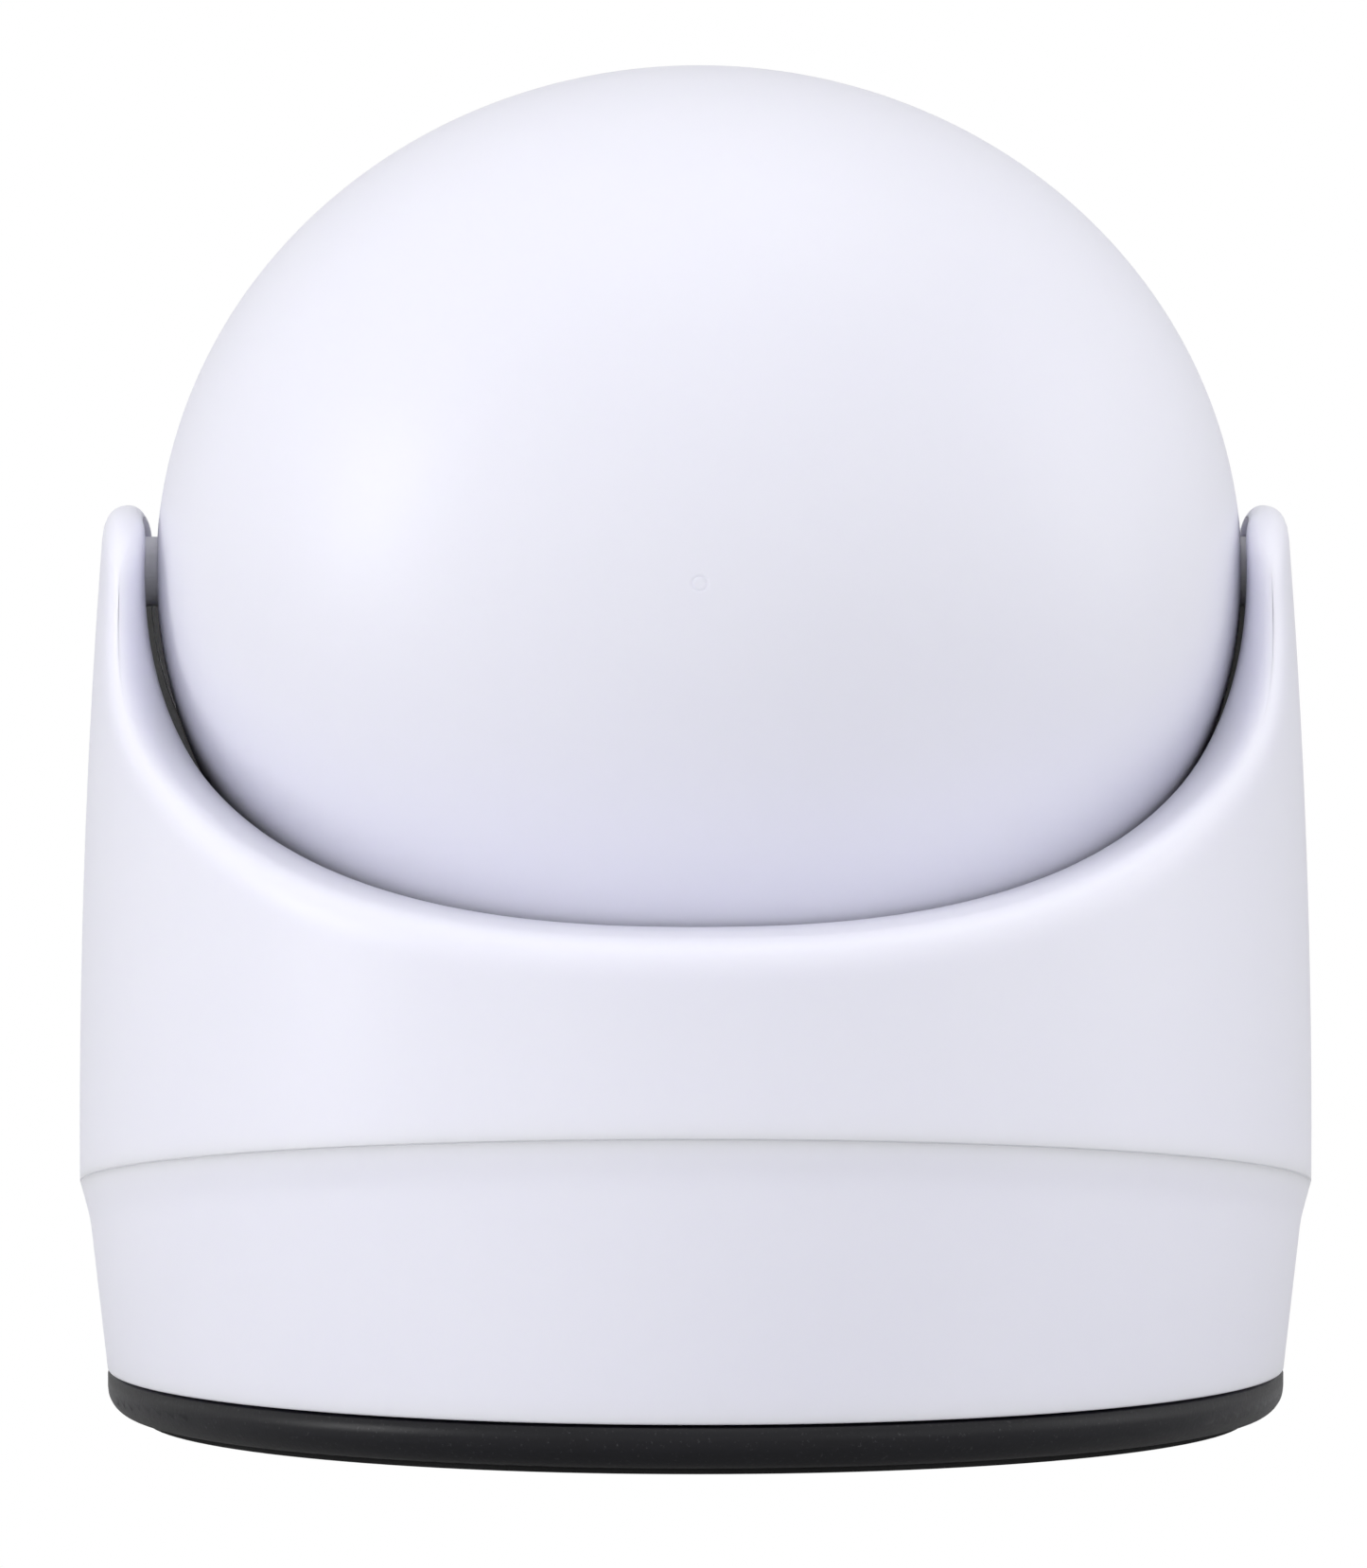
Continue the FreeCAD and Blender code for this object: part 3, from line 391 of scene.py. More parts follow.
def crown_stretch(start_y):
    """Anchors over the crown, from its corner to the top of the ear."""
    y = np.linspace(start_y, 0, 160)[1:]
    z = CROWN_Z + np.sqrt(CROWN_RADIUS ** 2 - y ** 2)

    def x_at(v):
        return notch_half_width(v, z)

    edge_y = far_side(x_at, lambda x, v: bowl_distance(np.stack([x, v, z], -1)) < 0, len(z))
    bowl_x = BOWL_HALF_WIDTH * np.sqrt(1 - (y ** 2 + (z - TILT_Z) ** 2) / BOWL_RADIUS ** 2)
    on_notch = y > edge_y
    outer = np.stack([np.sqrt(wall_radius(z) ** 2 - y ** 2), -y, z], -1)
    inner = np.stack([np.where(on_notch, x_at(y), bowl_x), -y, z], -1)
    edge = np.stack([np.where(on_notch, x_at(edge_y), bowl_x), -np.minimum(edge_y, y), z], -1)
    return outer, inner, edge


def rim_quarter(stations):
    """Outer, inner and hollow anchors at evenly spaced stations along the outer rim."""
    notch_part = notch_stretch()
    crown_part = crown_stretch(-notch_part[0][-1, 1])
    parts = [np.concatenate(pair) for pair in zip(notch_part, crown_part)]
    length = np.append(0, np.cumsum(np.linalg.norm(np.diff(parts[0], axis=0), axis=1)))
    wanted = np.linspace(0, length[-1], stations)
    return [np.stack([np.interp(wanted, length, part[:, k]) for k in range(3)], -1) for part in parts]


STATIONS = 97
rim_outer, rim_inner, bowl_edge = rim_quarter(STATIONS)
print("rim goes from", np.round(rim_outer[0] / MM, 1), "to", np.round(rim_outer[-1] / MM, 1))


# %% [markdown]
# Columns of the grid climb the wall from the crease, pass over the rim, cross the shoulder and turn
# down into the hollow. Rows crowd together near the rim and the lip, where the skin bends. The way
# back down the inside stays plain, because only the drum's works see it.

# %% Columns over the rim
CASING_WALL = 2.8 * MM
LIP_DEPTH = 1.2 * MM
SHOULDER = 3.0 * MM
LINER_ROOM = 1.15 * MM
CREASE_ROUND = 0.12 * MM
INSIDE_TOP = 62.0 * MM
NOTCH_FLOOR = 46.0 * MM
EAR_SPREAD = 1.45     # above 1, columns crowd towards the middle of an ear
RISE = 1.8            # above 1, rows of the wall crowd towards the rim
SHOULDER_RISE = 1.7   # above 1, rows of the shoulder crowd towards the rim


def crease_height(y):
    """The crease lies in a plane that rises towards the back."""
    return CREASE_Z - CREASE_SLOPE * y


def on_wall(angle, z, inset=0.0):
    """Points on the barrel, or a fixed distance inside it."""
    radius = wall_radius(z) - inset
    return np.stack([radius * np.cos(angle), radius * np.sin(angle), z], -1)


def on_crease(angle, inset, lift):
    """Points of a plan circle in the crease's plane, raised by lift."""
    z = crease_height((CREASE_RADIUS - inset) * np.sin(angle)) + lift
    return on_wall(angle, z, inset)


def along(start, end, shares):
    """Points at the given shares of the way from each start to each end: [column, row]."""
    return start[:, None] + (end - start)[:, None] * np.asarray(shares)[None, :, None]


def foot_angles():
    """Angle of each column at the crease. Under the notch it is the rim's own angle, and under an
    ear the columns spread out so that they reach the ear's edge from inside the ear."""
    rim_angle = np.arctan2(rim_outer[:, 1], rim_outer[:, 0])
    turn = int(np.argmax(rim_angle > math.radians(-45)))
    rest = np.linspace(0, 1, STATIONS - turn)
    return np.append(rim_angle[:turn], rim_angle[turn] * (1 - rest) ** EAR_SPREAD)


def lip_rows():
    """Rows that follow the hollow's skin down from the edge, square to the edge."""
    def cut(p):
        return smooth_max(notch_distance(p), crown_distance(p), CROWN_SOFTNESS)

    down, out = slope_of(cut, bowl_edge), slope_of(bowl_distance, bowl_edge)
    out /= np.linalg.norm(out, axis=-1, keepdims=True)
    down = down - (down * out).sum(-1, keepdims=True) * out
    down /= np.linalg.norm(down, axis=-1, keepdims=True)
    depth = np.array([0.0, 0.08, 0.2, 0.4, 0.8, 1.0]) * LIP_DEPTH
    return bowl_edge[:, None] - depth[None, :, None] * down[:, None]


def shoulder_rows():
    """Rows from the rim over the crown's inner corner to the edge of the hollow."""
    first = np.linalg.norm(rim_inner - rim_outer, axis=-1)[:, None]
    second = np.linalg.norm(bowl_edge - rim_inner, axis=-1)[:, None]
    spacing = np.append(np.linspace(0, 1, 26)[1:-1] ** SHOULDER_RISE, [0.965, 0.985, 0.995])
    travel = np.sort(spacing)[None] * (first + second)
    to_inner = np.clip(travel / np.maximum(first, 1e-9), 0, 1)[..., None]
    to_edge = np.clip((travel - first) / np.maximum(second, 1e-9), 0, 1)[..., None]
    on_first = rim_outer[:, None] + to_inner * (rim_inner - rim_outer)[:, None]
    return on_first + to_edge * (bowl_edge - rim_inner)[:, None]


def casing_quarter():
    """Grid of a quarter of the casing: outer rows pulled to the skin, then the plain inner rows."""
    angle = foot_angles()[:, None]
    rim_angle = np.arctan2(rim_outer[:, 1], rim_outer[:, 0])[:, None]
    rising = 1 - (1 - np.linspace(0, 1, 27)) ** RISE
    low = on_crease(angle[:, 0], 0.0, CREASE_ROUND)
    wall = on_wall(along(angle, rim_angle, rising)[..., 0],
                   along(low[:, 2:], rim_outer[:, 2:], rising)[..., 0])
    lip = pull_to_skin(lip_rows(), bowl_distance)
    skin = pull_to_skin(np.concatenate([wall, shoulder_rows(), lip], 1), casing_distance)
    skin[:, 0] = low
    under_lip = skin[:, -1] - LINER_ROOM * slope_of(bowl_distance, skin[:, -1])
    inner_top = on_wall(angle[:, 0], np.minimum(rim_outer[:, 2] - SHOULDER, INSIDE_TOP), CASING_WALL)
    inner_low = on_crease(angle[:, 0], CASING_WALL, 0.0)
    under = along(under_lip, inner_top, [0, 0.25, 0.5, 0.75])
    inside = along(inner_top, inner_low, np.linspace(0, 1, 9))
    corner = on_crease(angle[:, 0], CREASE_ROUND, 0.0)[:, None]
    return np.concatenate([skin, under, inside, corner], 1)


def mirrored_round(quarter):
    """All the way round from one quarter: back right, front right, front left and back left."""
    front = quarter[::-1] * (1, -1, 1)
    right = np.concatenate([quarter, front[1:]])
    left = right[::-1] * (-1, 1, 1)
    return np.concatenate([right, left[1:-1]])


def lean_crease(points):
    """The mirrored quarter has the back's high crease at the front too, so the front half's rows
    are lowered by the share of the wall that lies between the crease and the notch."""
    y, z = points[..., 1], points[..., 2]
    reach = np.clip((NOTCH_FLOOR - z) / (NOTCH_FLOOR - crease_height(-np.abs(y))), 0, 1)
    drop = crease_height(-np.abs(y)) - crease_height(np.abs(y))
    lowered = z - np.where(y > 0, drop * reach, 0)
    radius = np.hypot(points[..., 0], y)
    grown = (wall_radius(lowered) - wall_radius(z)) * (reach > 0)
    scale = (radius + grown) / np.maximum(radius, 1e-9)
    return np.stack([points[..., 0] * scale, y * scale, lowered], -1)


casing_points = lean_crease(mirrored_round(casing_quarter()))
casing = new_object("drum_upper", grid_mesh("drum_upper", casing_points))
tidy_mesh(casing.data)
print("columns and rows", casing_points.shape[:2], "open edges", open_edges(casing.data))


# %% [markdown]
# Sound leaves the drum at the front through five slots, and each ear has a blind pocket that the
# pivot pin is pressed into. Both are plain cuts, so here a boolean is the right tool.

# %% Slots and pockets
PIVOT_RADIUS = 3.15 * MM
POCKET_X = 52.6 * MM
GRILLE_HALF_WIDTH = 11.0 * MM
GRILLE_HEIGHTS = [(21.0 + 3.0 * row) * MM for row in range(5)]
SLOT_HALF_HEIGHT = 0.7 * MM
CUT_NEAR, CUT_FAR = 45.0 * MM, 60.0 * MM
ROUND_STEPS = 64
OFF_AXIS = 0.01   # radians, so that no point of a slot's outline has a cosine of exactly zero


def slot_cutter(height):
    """A long rod with round ends in outline, pushed through the front wall."""
    angle = np.linspace(0, 2 * np.pi, ROUND_STEPS // 2, endpoint=False) + OFF_AXIS
    x = SLOT_HALF_HEIGHT * np.cos(angle) + GRILLE_HALF_WIDTH * np.sign(np.cos(angle))
    ring = np.stack([x, 0 * x, height + SLOT_HALF_HEIGHT * np.sin(angle)], -1)
    near, far = ring + (0, CUT_NEAR, 0), ring + (0, CUT_FAR, 0)
    caps = [np.repeat(end.mean(0)[None], len(ring), 0) for end in (near, far)]
    points = np.stack([caps[0], near, far, caps[1]], 1)
    cutter = new_object("slot_cutter", grid_mesh("slot_cutter", points, close_rows=False))
    tidy_mesh(cutter.data)
    return cutter


def rod_cutter(radius, start, end, axis, centre):
    """A closed rod between two places along an axis."""
    profile = [(0, start), (radius, start), (radius, end), (0, end)]
    points = turned_points(profile, ROUND_STEPS, axis, centre)
    cutter = new_object("rod_cutter", grid_mesh("rod_cutter", points, close_rows=False))
    tidy_mesh(cutter.data)
    return cutter


tilt_centre = (0, 0, TILT_Z)
pockets = [rod_cutter(PIVOT_RADIUS, side * CUT_NEAR, side * POCKET_X, "x", tilt_centre) for side in (-1, 1)]
cut_away(casing, [slot_cutter(height) for height in GRILLE_HEIGHTS] + pockets)
place_piece(casing, "drum", "white_casing", "drum_shell")


# %% [markdown]
# ## The drum's lower casing
# Under the crease the wall steps in with a sloping band and then narrows to the foot. The crease is
# cut by a slanted plane, so the band stays the same height while its place changes round the drum.

# %% Lower casing
BAND_DROP = 3.3 * MM
BAND_RADIUS = 54.95 * MM
LOWER_WALL = 3.0 * MM


def lower_casing_points(steps=256):
    """Rows go from the crease down the band and the taper, under the edge and up the inside."""
    angle = np.linspace(0, 2 * np.pi, steps, endpoint=False)
    inner = FOOT_RADIUS - LOWER_WALL
    profiles = []
    for high in crease_height(CREASE_RADIUS * np.sin(angle)):
        profiles.append(rounded_profile([(inner, high, 0), (CREASE_RADIUS, high, CREASE_ROUND),
                                         (BAND_RADIUS, high - BAND_DROP, 0.9 * MM),
                                         (FOOT_RADIUS, SKIRT_BOTTOM, 0.25 * MM),
                                         (inner, SKIRT_BOTTOM, 0)]))
    profile = np.array(profiles)
    radius, turn = profile[..., 0], angle[:, None]
    return np.stack([radius * np.cos(turn), radius * np.sin(turn), profile[..., 1]], -1)


lower = new_object("drum_lower", grid_mesh("drum_lower", lower_casing_points()))
tidy_mesh(lower.data)
place_piece(lower, "drum", "white_casing", "drum_skirt")


# %% [markdown]
# ## The ball head
# The head is two moulded shells that meet at a seam just in front of the tilt axis. The shape is a
# ball drawn out a little along that axis. Rings of the grid run round the line of sight, so the
# back has its pole where the plastic entered the mould, and there the mark that this leaves is made:
# a tiny ring pressed into the skin.

# %% Head shells
HEAD_WALL = 2.2 * MM
SEAM_ROUND = 0.2 * MM
WINDOW_RADIUS = 22.0 * MM
PIVOT_HOLE = 4.6 * MM
GATE_RING = 0.6 * MM
GATE_WIDTH = 0.12 * MM
GATE_DEPTH = 0.09 * MM
HEAD_CENTRE = np.array([HEAD_X, 0, TILT_Z])


def head_skin(polar, turn, inset=0.0):
    """Point of the drawn-out ball at an angle from its back pole and a turn round the sight line."""
    half_width, radius = HEAD_HALF_WIDTH - inset, HEAD_RADIUS - inset
    x = half_width * np.sin(polar) * np.cos(turn)
    z = radius * np.sin(polar) * np.sin(turn)
    return np.stack([x, -radius * np.cos(polar) + 0 * x, z], -1) + HEAD_CENTRE


def seam_angle(y, inset=0.0):
    """Angle from the back pole at which the skin crosses a plane."""
    return float(np.arccos(-y / (HEAD_RADIUS - inset)))


def seam_edge(turn):
    """The row that rounds a shell's edge at the seam."""
    return head_skin(seam_angle(HEAD_SEAM_Y, SEAM_ROUND) + 0 * turn, turn, SEAM_ROUND)


def rear_shell_points(columns=256):
    """Rings from the back pole to the seam, over its edge and back along the inside to the pole."""
    turn = np.linspace(0, 2 * np.pi, columns, endpoint=False)[:, None]
    near_pole = np.linspace(0, 1.5 * MM, 16) / HEAD_RADIUS
    end = seam_angle(HEAD_SEAM_Y - SEAM_ROUND)
    polar = np.append(near_pole, np.linspace(near_pole[-1], end, 100)[1:])
    dip = GATE_DEPTH * np.exp(-((polar * HEAD_RADIUS - GATE_RING) / GATE_WIDTH) ** 2)
    outside = head_skin(polar[None], turn, dip[None])
    back = np.linspace(seam_angle(HEAD_SEAM_Y, HEAD_WALL), 0, 40)
    return np.concatenate([outside, seam_edge(turn), head_skin(back[None], turn, HEAD_WALL)], 1)


rear = new_object("head_rear", grid_mesh("head_rear", rear_shell_points(), close_rows=False))
tidy_mesh(rear.data)
cut_away(rear, [rod_cutter(PIVOT_HOLE, -CUT_FAR, CUT_FAR, "x", tilt_centre)])
place_piece(rear, "head", "white_casing", "head_rear_shell")


# %% [markdown]
# The front shell carries the round dark window. Its rings start at the seam and end at the window's
# edge, which is a true circle on a skin that isn't quite round, so each column has its own length.

# %% Front shell with its openings
CARD_Z = 52.0 * MM
CARD_HALF_WIDTH = 5.9 * MM
CARD_HALF_HEIGHT = 0.8 * MM
BUTTON_X = 12.0 * MM
BUTTON_HOLE = 1.8 * MM
WINDOW_ROUND = 0.3 * MM
OPENING_NEAR = 20.0 * MM
BUTTON_NEAR = 15.0 * MM


def window_angle(turn, radius, inset=0.0):
    """Angle from the back pole at which the skin is a given distance from the sight line."""
    reach = np.hypot((HEAD_HALF_WIDTH - inset) * np.cos(turn), (HEAD_RADIUS - inset) * np.sin(turn))
    return np.pi - np.arcsin(radius / reach)


def front_shell_points(columns=256):
    """Rings from the seam to the window, over its edge and back along the inside to the seam."""
    turn = np.linspace(0, 2 * np.pi, columns, endpoint=False)[:, None]
    share = np.linspace(0, 1, 60)[None]
    start = seam_angle(HEAD_SEAM_Y + SEAM_ROUND)
    end = window_angle(turn, WINDOW_RADIUS + WINDOW_ROUND)
    outside = head_skin(start + (end - start) * share, turn)
    rim = head_skin(window_angle(turn, WINDOW_RADIUS, WINDOW_ROUND), turn, WINDOW_ROUND)
    inner_end = window_angle(turn, WINDOW_RADIUS, HEAD_WALL)
    inner_start = seam_angle(HEAD_SEAM_Y, HEAD_WALL)
    inside = head_skin(inner_end + (inner_start - inner_end) * share[:, ::3], turn, HEAD_WALL)
    return np.concatenate([outside, rim, inside, seam_edge(turn)], 1)


def block_cutter(low, high):
    """A closed box between two corners."""
    mesh = bpy.data.meshes.new("block_cutter")
    low, size = np.array(low), np.array(high) - np.array(low)
    work = bmesh.new()
    bmesh.ops.create_cube(work, size=1)
    for vert in work.verts:
        vert.co = low + (np.array(vert.co) + 0.5) * size
    work.to_mesh(mesh)
    work.free()
    return new_object("block_cutter", mesh)


front = new_object("head_front", grid_mesh("head_front", front_shell_points()))
tidy_mesh(front.data)
card_gap = block_cutter((HEAD_X - CARD_HALF_WIDTH, OPENING_NEAR, CARD_Z - CARD_HALF_HEIGHT),
                        (HEAD_X + CARD_HALF_WIDTH, CUT_FAR, CARD_Z + CARD_HALF_HEIGHT))
button_hole = rod_cutter(BUTTON_HOLE, BUTTON_NEAR, CUT_FAR, "y", (BUTTON_X, 0, CARD_Z))
cut_away(front, [card_gap, button_hole])
place_piece(front, "head", "white_casing", "head_front_shell")


# %% [markdown]
# ## Pieces that keep their CAD shape
# Many turned and moulded pieces already have the right shape, but their meshes are loose triangles
# that catch the light in facets. A copy with its points merged can be shaded smooth up to its real
# corners. The copies stand for the CAD nodes they come from.

# %% Smooth copies
SMOOTH_NODES = ["foot_dish", "base_plate", "pad_ring", "tripod_insert", "foot_screws", "power_socket",
                "cradle_liner", "face_plate", "lens_bezel", "lens_barrel", "lens_front", "lens_inner",
                "infrared_lamps", "status_lamp", "reset_button", "pivot_boss_left", "pivot_boss_right",
                "pan_gear", "pan_pinion", "pan_motor", "pan_shaft", "pan_bush", "tilt_gear",
                "tilt_pinion", "tilt_motor", "tilt_shaft", "speaker_cone", "speaker_magnet",
                "speaker_frame", "drum_screws", "head_screws", "pivot_bush_left", "pivot_bush_right",
                "drum_floor", "grille_mesh", "microphone", "retaining_clip", "thrust_washer"]
COPY_MERGE_WITHIN = 0.004 * MM
COPY_CORNER = math.radians(24)
slot_of = {name: obj.material_slots[0].material.name for name, obj in nodes.items()}


def smooth_copy(node):
    """Copy a CAD node's mesh, merge its points, and shade it smooth between real corners."""
    mesh = nodes[node].data.copy()
    mesh.name = node + "_smooth"
    work = bmesh.new()
    work.from_mesh(mesh)
    bmesh.ops.remove_doubles(work, verts=work.verts, dist=COPY_MERGE_WITHIN)
    work.to_mesh(mesh)
    work.free()
    shade_smooth(mesh, COPY_CORNER)
    piece = new_object(node + "_smooth", mesh)
    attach(piece, nodes[node]["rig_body"])
    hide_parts(node)
    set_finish(piece, slot_of[node])
    return piece


copies = [smooth_copy(node) for node in SMOOTH_NODES]
print("smooth copies:", len(copies))


# %% [markdown]
# ## Effects shared by the finishes
# Moulded plastic is never one flat colour. Three effects are used again and again, so each is a
# node group: a fine grain that tilts the surface and also marks where glints are painted into the
# colour, a slow unevenness of tone, and dust that settles on what faces up. All of them read Object
# coordinates, which are the frame's own metres.

# %% Node group helpers
def new_group(name, inputs, outputs):
    """An empty shader group with inputs {name: value} and outputs {name: socket type}."""
    group = bpy.data.node_groups.new(name, "ShaderNodeTree")
    for label, value in inputs.items():
        kind = "NodeSocketColor" if isinstance(value, tuple) else "NodeSocketFloat"
        socket = group.interface.new_socket(label, in_out="INPUT", socket_type=kind)
        socket.default_value = value
    for label, kind in outputs.items():
        group.interface.new_socket(label, in_out="OUTPUT", socket_type=kind)
    return group, group.nodes.new("NodeGroupInput"), group.nodes.new("NodeGroupOutput")


def add_node(tree, kind, values=None, **settings):
    """A node with its settings and its input values filled in."""
    node = tree.nodes.new(kind)
    for key, value in settings.items():
        setattr(node, key, value)
    for key, value in (values or {}).items():
        node.inputs[key].default_value = value
    return node


def object_place(tree):
    """Where on the object a point lies, in the frame's metres."""
    return tree.nodes.new("ShaderNodeTexCoord").outputs["Object"]


COLOUR_A, COLOUR_B, COLOUR_OUT = 6, 7, 2


# %% [markdown]
# The grain copies the etched surface of a mould: many small cells of slightly different height. A
# fractal noise alone looks like cloud, so it is mixed with the cells of a Voronoi pattern. The group
# hands out a height, and each material has its own Bump, because depth differs per finish. It also
# hands out the noise's highest spots as a mask for painted glints: light specks mixed into the colour.

# %% Grain group
def grain_group():
    """Height is 0.6 of fractal noise plus 0.4 of cell distance. Painted Glint is the noise's top part, where
    glints are painted in.
    """
    group, feed, result = new_group("mould_grain", {"Scale": 5000.0},
                                    {"Height": "NodeSocketFloat", "Painted Glint": "NodeSocketFloat"})
    place = object_place(group)
    noise = add_node(group, "ShaderNodeTexNoise", {"Detail": 3.0, "Roughness": 0.6})
    cells = add_node(group, "ShaderNodeTexVoronoi", feature="SMOOTH_F1")
    mix = add_node(group, "ShaderNodeMix", {"Factor": 0.4})
    # the noise's highest spots mark where glints are painted into the colour
    glint = add_node(group, "ShaderNodeMapRange", {"From Min": 0.62, "From Max": 0.8})
    for texture in (noise, cells):
        group.links.new(place, texture.inputs["Vector"])
        group.links.new(feed.outputs["Scale"], texture.inputs["Scale"])
    group.links.new(noise.outputs["Fac"], mix.inputs["A"])
    group.links.new(cells.outputs["Distance"], mix.inputs["B"])
    group.links.new(mix.outputs["Result"], result.inputs["Height"])
    group.links.new(noise.outputs["Fac"], glint.inputs["Value"])
    group.links.new(glint.outputs["Result"], result.inputs["Painted Glint"])
    return group


GRAIN = grain_group()
print("grain group has", len(GRAIN.nodes), "nodes")


# %% [markdown]
# Tone and dust are slower effects. Tone drifts between two near colours over centimetres, as resin
# does when it cools, and dust gathers in specks on whatever looks up.

# %% Tone and dust groups
def tone_group():
    """Colour moved towards a second colour by the chosen amount where slow noise is high."""
    group, feed, result = new_group("uneven_tone",
                                    {"Base": (0.8, 0.8, 0.8, 1), "Other": (0.7, 0.7, 0.7, 1),
                                     "Scale": 60.0, "Amount": 0.5},
                                    {"Color": "NodeSocketColor"})
    noise = add_node(group, "ShaderNodeTexNoise", {"Detail": 4.0, "Roughness": 0.55})
    spread = add_node(group, "ShaderNodeMapRange", {"From Min": 0.35, "From Max": 0.65})
    amount = add_node(group, "ShaderNodeMath", operation="MULTIPLY")
    mix = add_node(group, "ShaderNodeMix", data_type="RGBA")
    group.links.new(object_place(group), noise.inputs["Vector"])
    group.links.new(feed.outputs["Scale"], noise.inputs["Scale"])
    group.links.new(noise.outputs["Fac"], spread.inputs["Value"])
    group.links.new(spread.outputs["Result"], amount.inputs[0])
    group.links.new(feed.outputs["Amount"], amount.inputs[1])
    group.links.new(amount.outputs["Value"], mix.inputs["Factor"])
    group.links.new(feed.outputs["Base"], mix.inputs[COLOUR_A])
    group.links.new(feed.outputs["Other"], mix.inputs[COLOUR_B])
    group.links.new(mix.outputs[COLOUR_OUT], result.inputs["Color"])
    return group


def dust_group():
    """Mask is the product of small noise specks and how far the face looks up."""
    group, feed, result = new_group("settled_dust", {"Amount": 0.2}, {"Mask": "NodeSocketFloat"})
    geometry = group.nodes.new("ShaderNodeNewGeometry")
    parts = group.nodes.new("ShaderNodeSeparateXYZ")
    specks = add_node(group, "ShaderNodeTexNoise", {"Scale": 2500.0, "Detail": 2.0})
    sharp = add_node(group, "ShaderNodeMapRange", {"From Min": 0.6, "From Max": 0.75})
    upward = add_node(group, "ShaderNodeMapRange", {"From Min": 0.1, "From Max": 0.9})
    both = add_node(group, "ShaderNodeMath", operation="MULTIPLY")
    scaled = add_node(group, "ShaderNodeMath", operation="MULTIPLY")
    group.links.new(object_place(group), specks.inputs["Vector"])
    group.links.new(geometry.outputs["Normal"], parts.inputs["Vector"])
    group.links.new(parts.outputs["Z"], upward.inputs["Value"])
    group.links.new(specks.outputs["Fac"], sharp.inputs["Value"])
    group.links.new(upward.outputs["Result"], both.inputs[0])
    group.links.new(sharp.outputs["Result"], both.inputs[1])
    group.links.new(both.outputs["Value"], scaled.inputs[0])
    group.links.new(feed.outputs["Amount"], scaled.inputs[1])
    group.links.new(scaled.outputs["Value"], result.inputs["Mask"])
    return group


TONE, DUST = tone_group(), dust_group()
print("shared effects:", GRAIN.name, TONE.name, DUST.name)


# %% [markdown]
# ## Finishes
# One function builds a moulded or metal finish from a few plain numbers, and the exceptions, glass
# and cloth, start from it. The Principled shader stays in the material itself, with its constant
# values on its own sockets.

# %% A general finish
# grey of the light specks: painted glints on the grained black, and real dust on the rubber pads
DUST_AND_GLINT_SPECK = (0.5, 0.5, 0.52, 1)
MILKY_DEPTH = 2.0 * MM


def use_group(tree, group, **values):
    """Put a shared effect into a material and fill in its inputs."""
    node = tree.nodes.new("ShaderNodeGroup")
    node.node_tree = group
    for label, value in values.items():
        node.inputs[label].default_value = value
    return node


def speckled(tree, colour, mask, amount):
    """Mix light specks into a colour where a mask is high."""
    mix = add_node(tree, "ShaderNodeMix", {COLOUR_B: DUST_AND_GLINT_SPECK}, data_type="RGBA")
    level = add_node(tree, "ShaderNodeMath", {1: amount}, operation="MULTIPLY")
    tree.links.new(mask, level.inputs[0])
    tree.links.new(level.outputs["Value"], mix.inputs["Factor"])
    tree.links.new(colour, mix.inputs[COLOUR_A])
    return mix.outputs[COLOUR_OUT]


def solid_finish(name, base, other, roughness, spread=0.05, metal=0.0, grain=5000.0, depth=0.004 * MM,
                 tone_scale=60.0, amount=0.6, painted_glint=0.0, specular=0.5, coat=0.0, coat_roughness=0.1,
                 dust=0.0, milky=0.0):
    """Principled finish: uneven tone feeds the colour, and grain feeds the roughness and a bump of
    the given depth in metres. Painted glint mixes light specks into the colour where the grain's noise
    is highest, so these glints are painted, not lit; dust adds specks of real dust. Milky plastic lets
    light travel a millimetre or two under the skin, which brightens narrow gaps."""
    material = bpy.data.materials.new(name)
    material.use_nodes = True
    tree = material.node_tree
    shader = tree.nodes["Principled BSDF"]
    shader.inputs["Metallic"].default_value = metal
    shader.inputs["Specular IOR Level"].default_value = specular
    shader.inputs["Coat Weight"].default_value = coat
    shader.inputs["Coat Roughness"].default_value = coat_roughness
    shader.inputs["Subsurface Weight"].default_value = milky
    shader.inputs["Subsurface Radius"].default_value = (1.0, 0.95, 1.0)
    shader.inputs["Subsurface Scale"].default_value = MILKY_DEPTH
    tone = use_group(tree, TONE, Base=(*base, 1), Other=(*other, 1), Scale=tone_scale, Amount=amount)
    grained = use_group(tree, GRAIN, Scale=grain)
    bump = add_node(tree, "ShaderNodeBump", {"Strength": 1.0, "Distance": depth})
    rough = add_node(tree, "ShaderNodeMapRange", {"To Min": roughness + spread, "To Max": roughness - spread})
    colour = tone.outputs["Color"]
    # painted glints: light specks mixed into the colour where the grain's noise is highest
    if painted_glint:
        colour = speckled(tree, colour, grained.outputs["Painted Glint"], painted_glint)
    if dust:
        colour = speckled(tree, colour, use_group(tree, DUST, Amount=dust).outputs["Mask"], 1.0)
    tree.links.new(colour, shader.inputs["Base Color"])
    tree.links.new(grained.outputs["Height"], rough.inputs["Value"])
    tree.links.new(rough.outputs["Result"], shader.inputs["Roughness"])
    tree.links.new(grained.outputs["Height"], bump.inputs["Height"])
    tree.links.new(bump.outputs["Normal"], shader.inputs["Normal"])
    return material
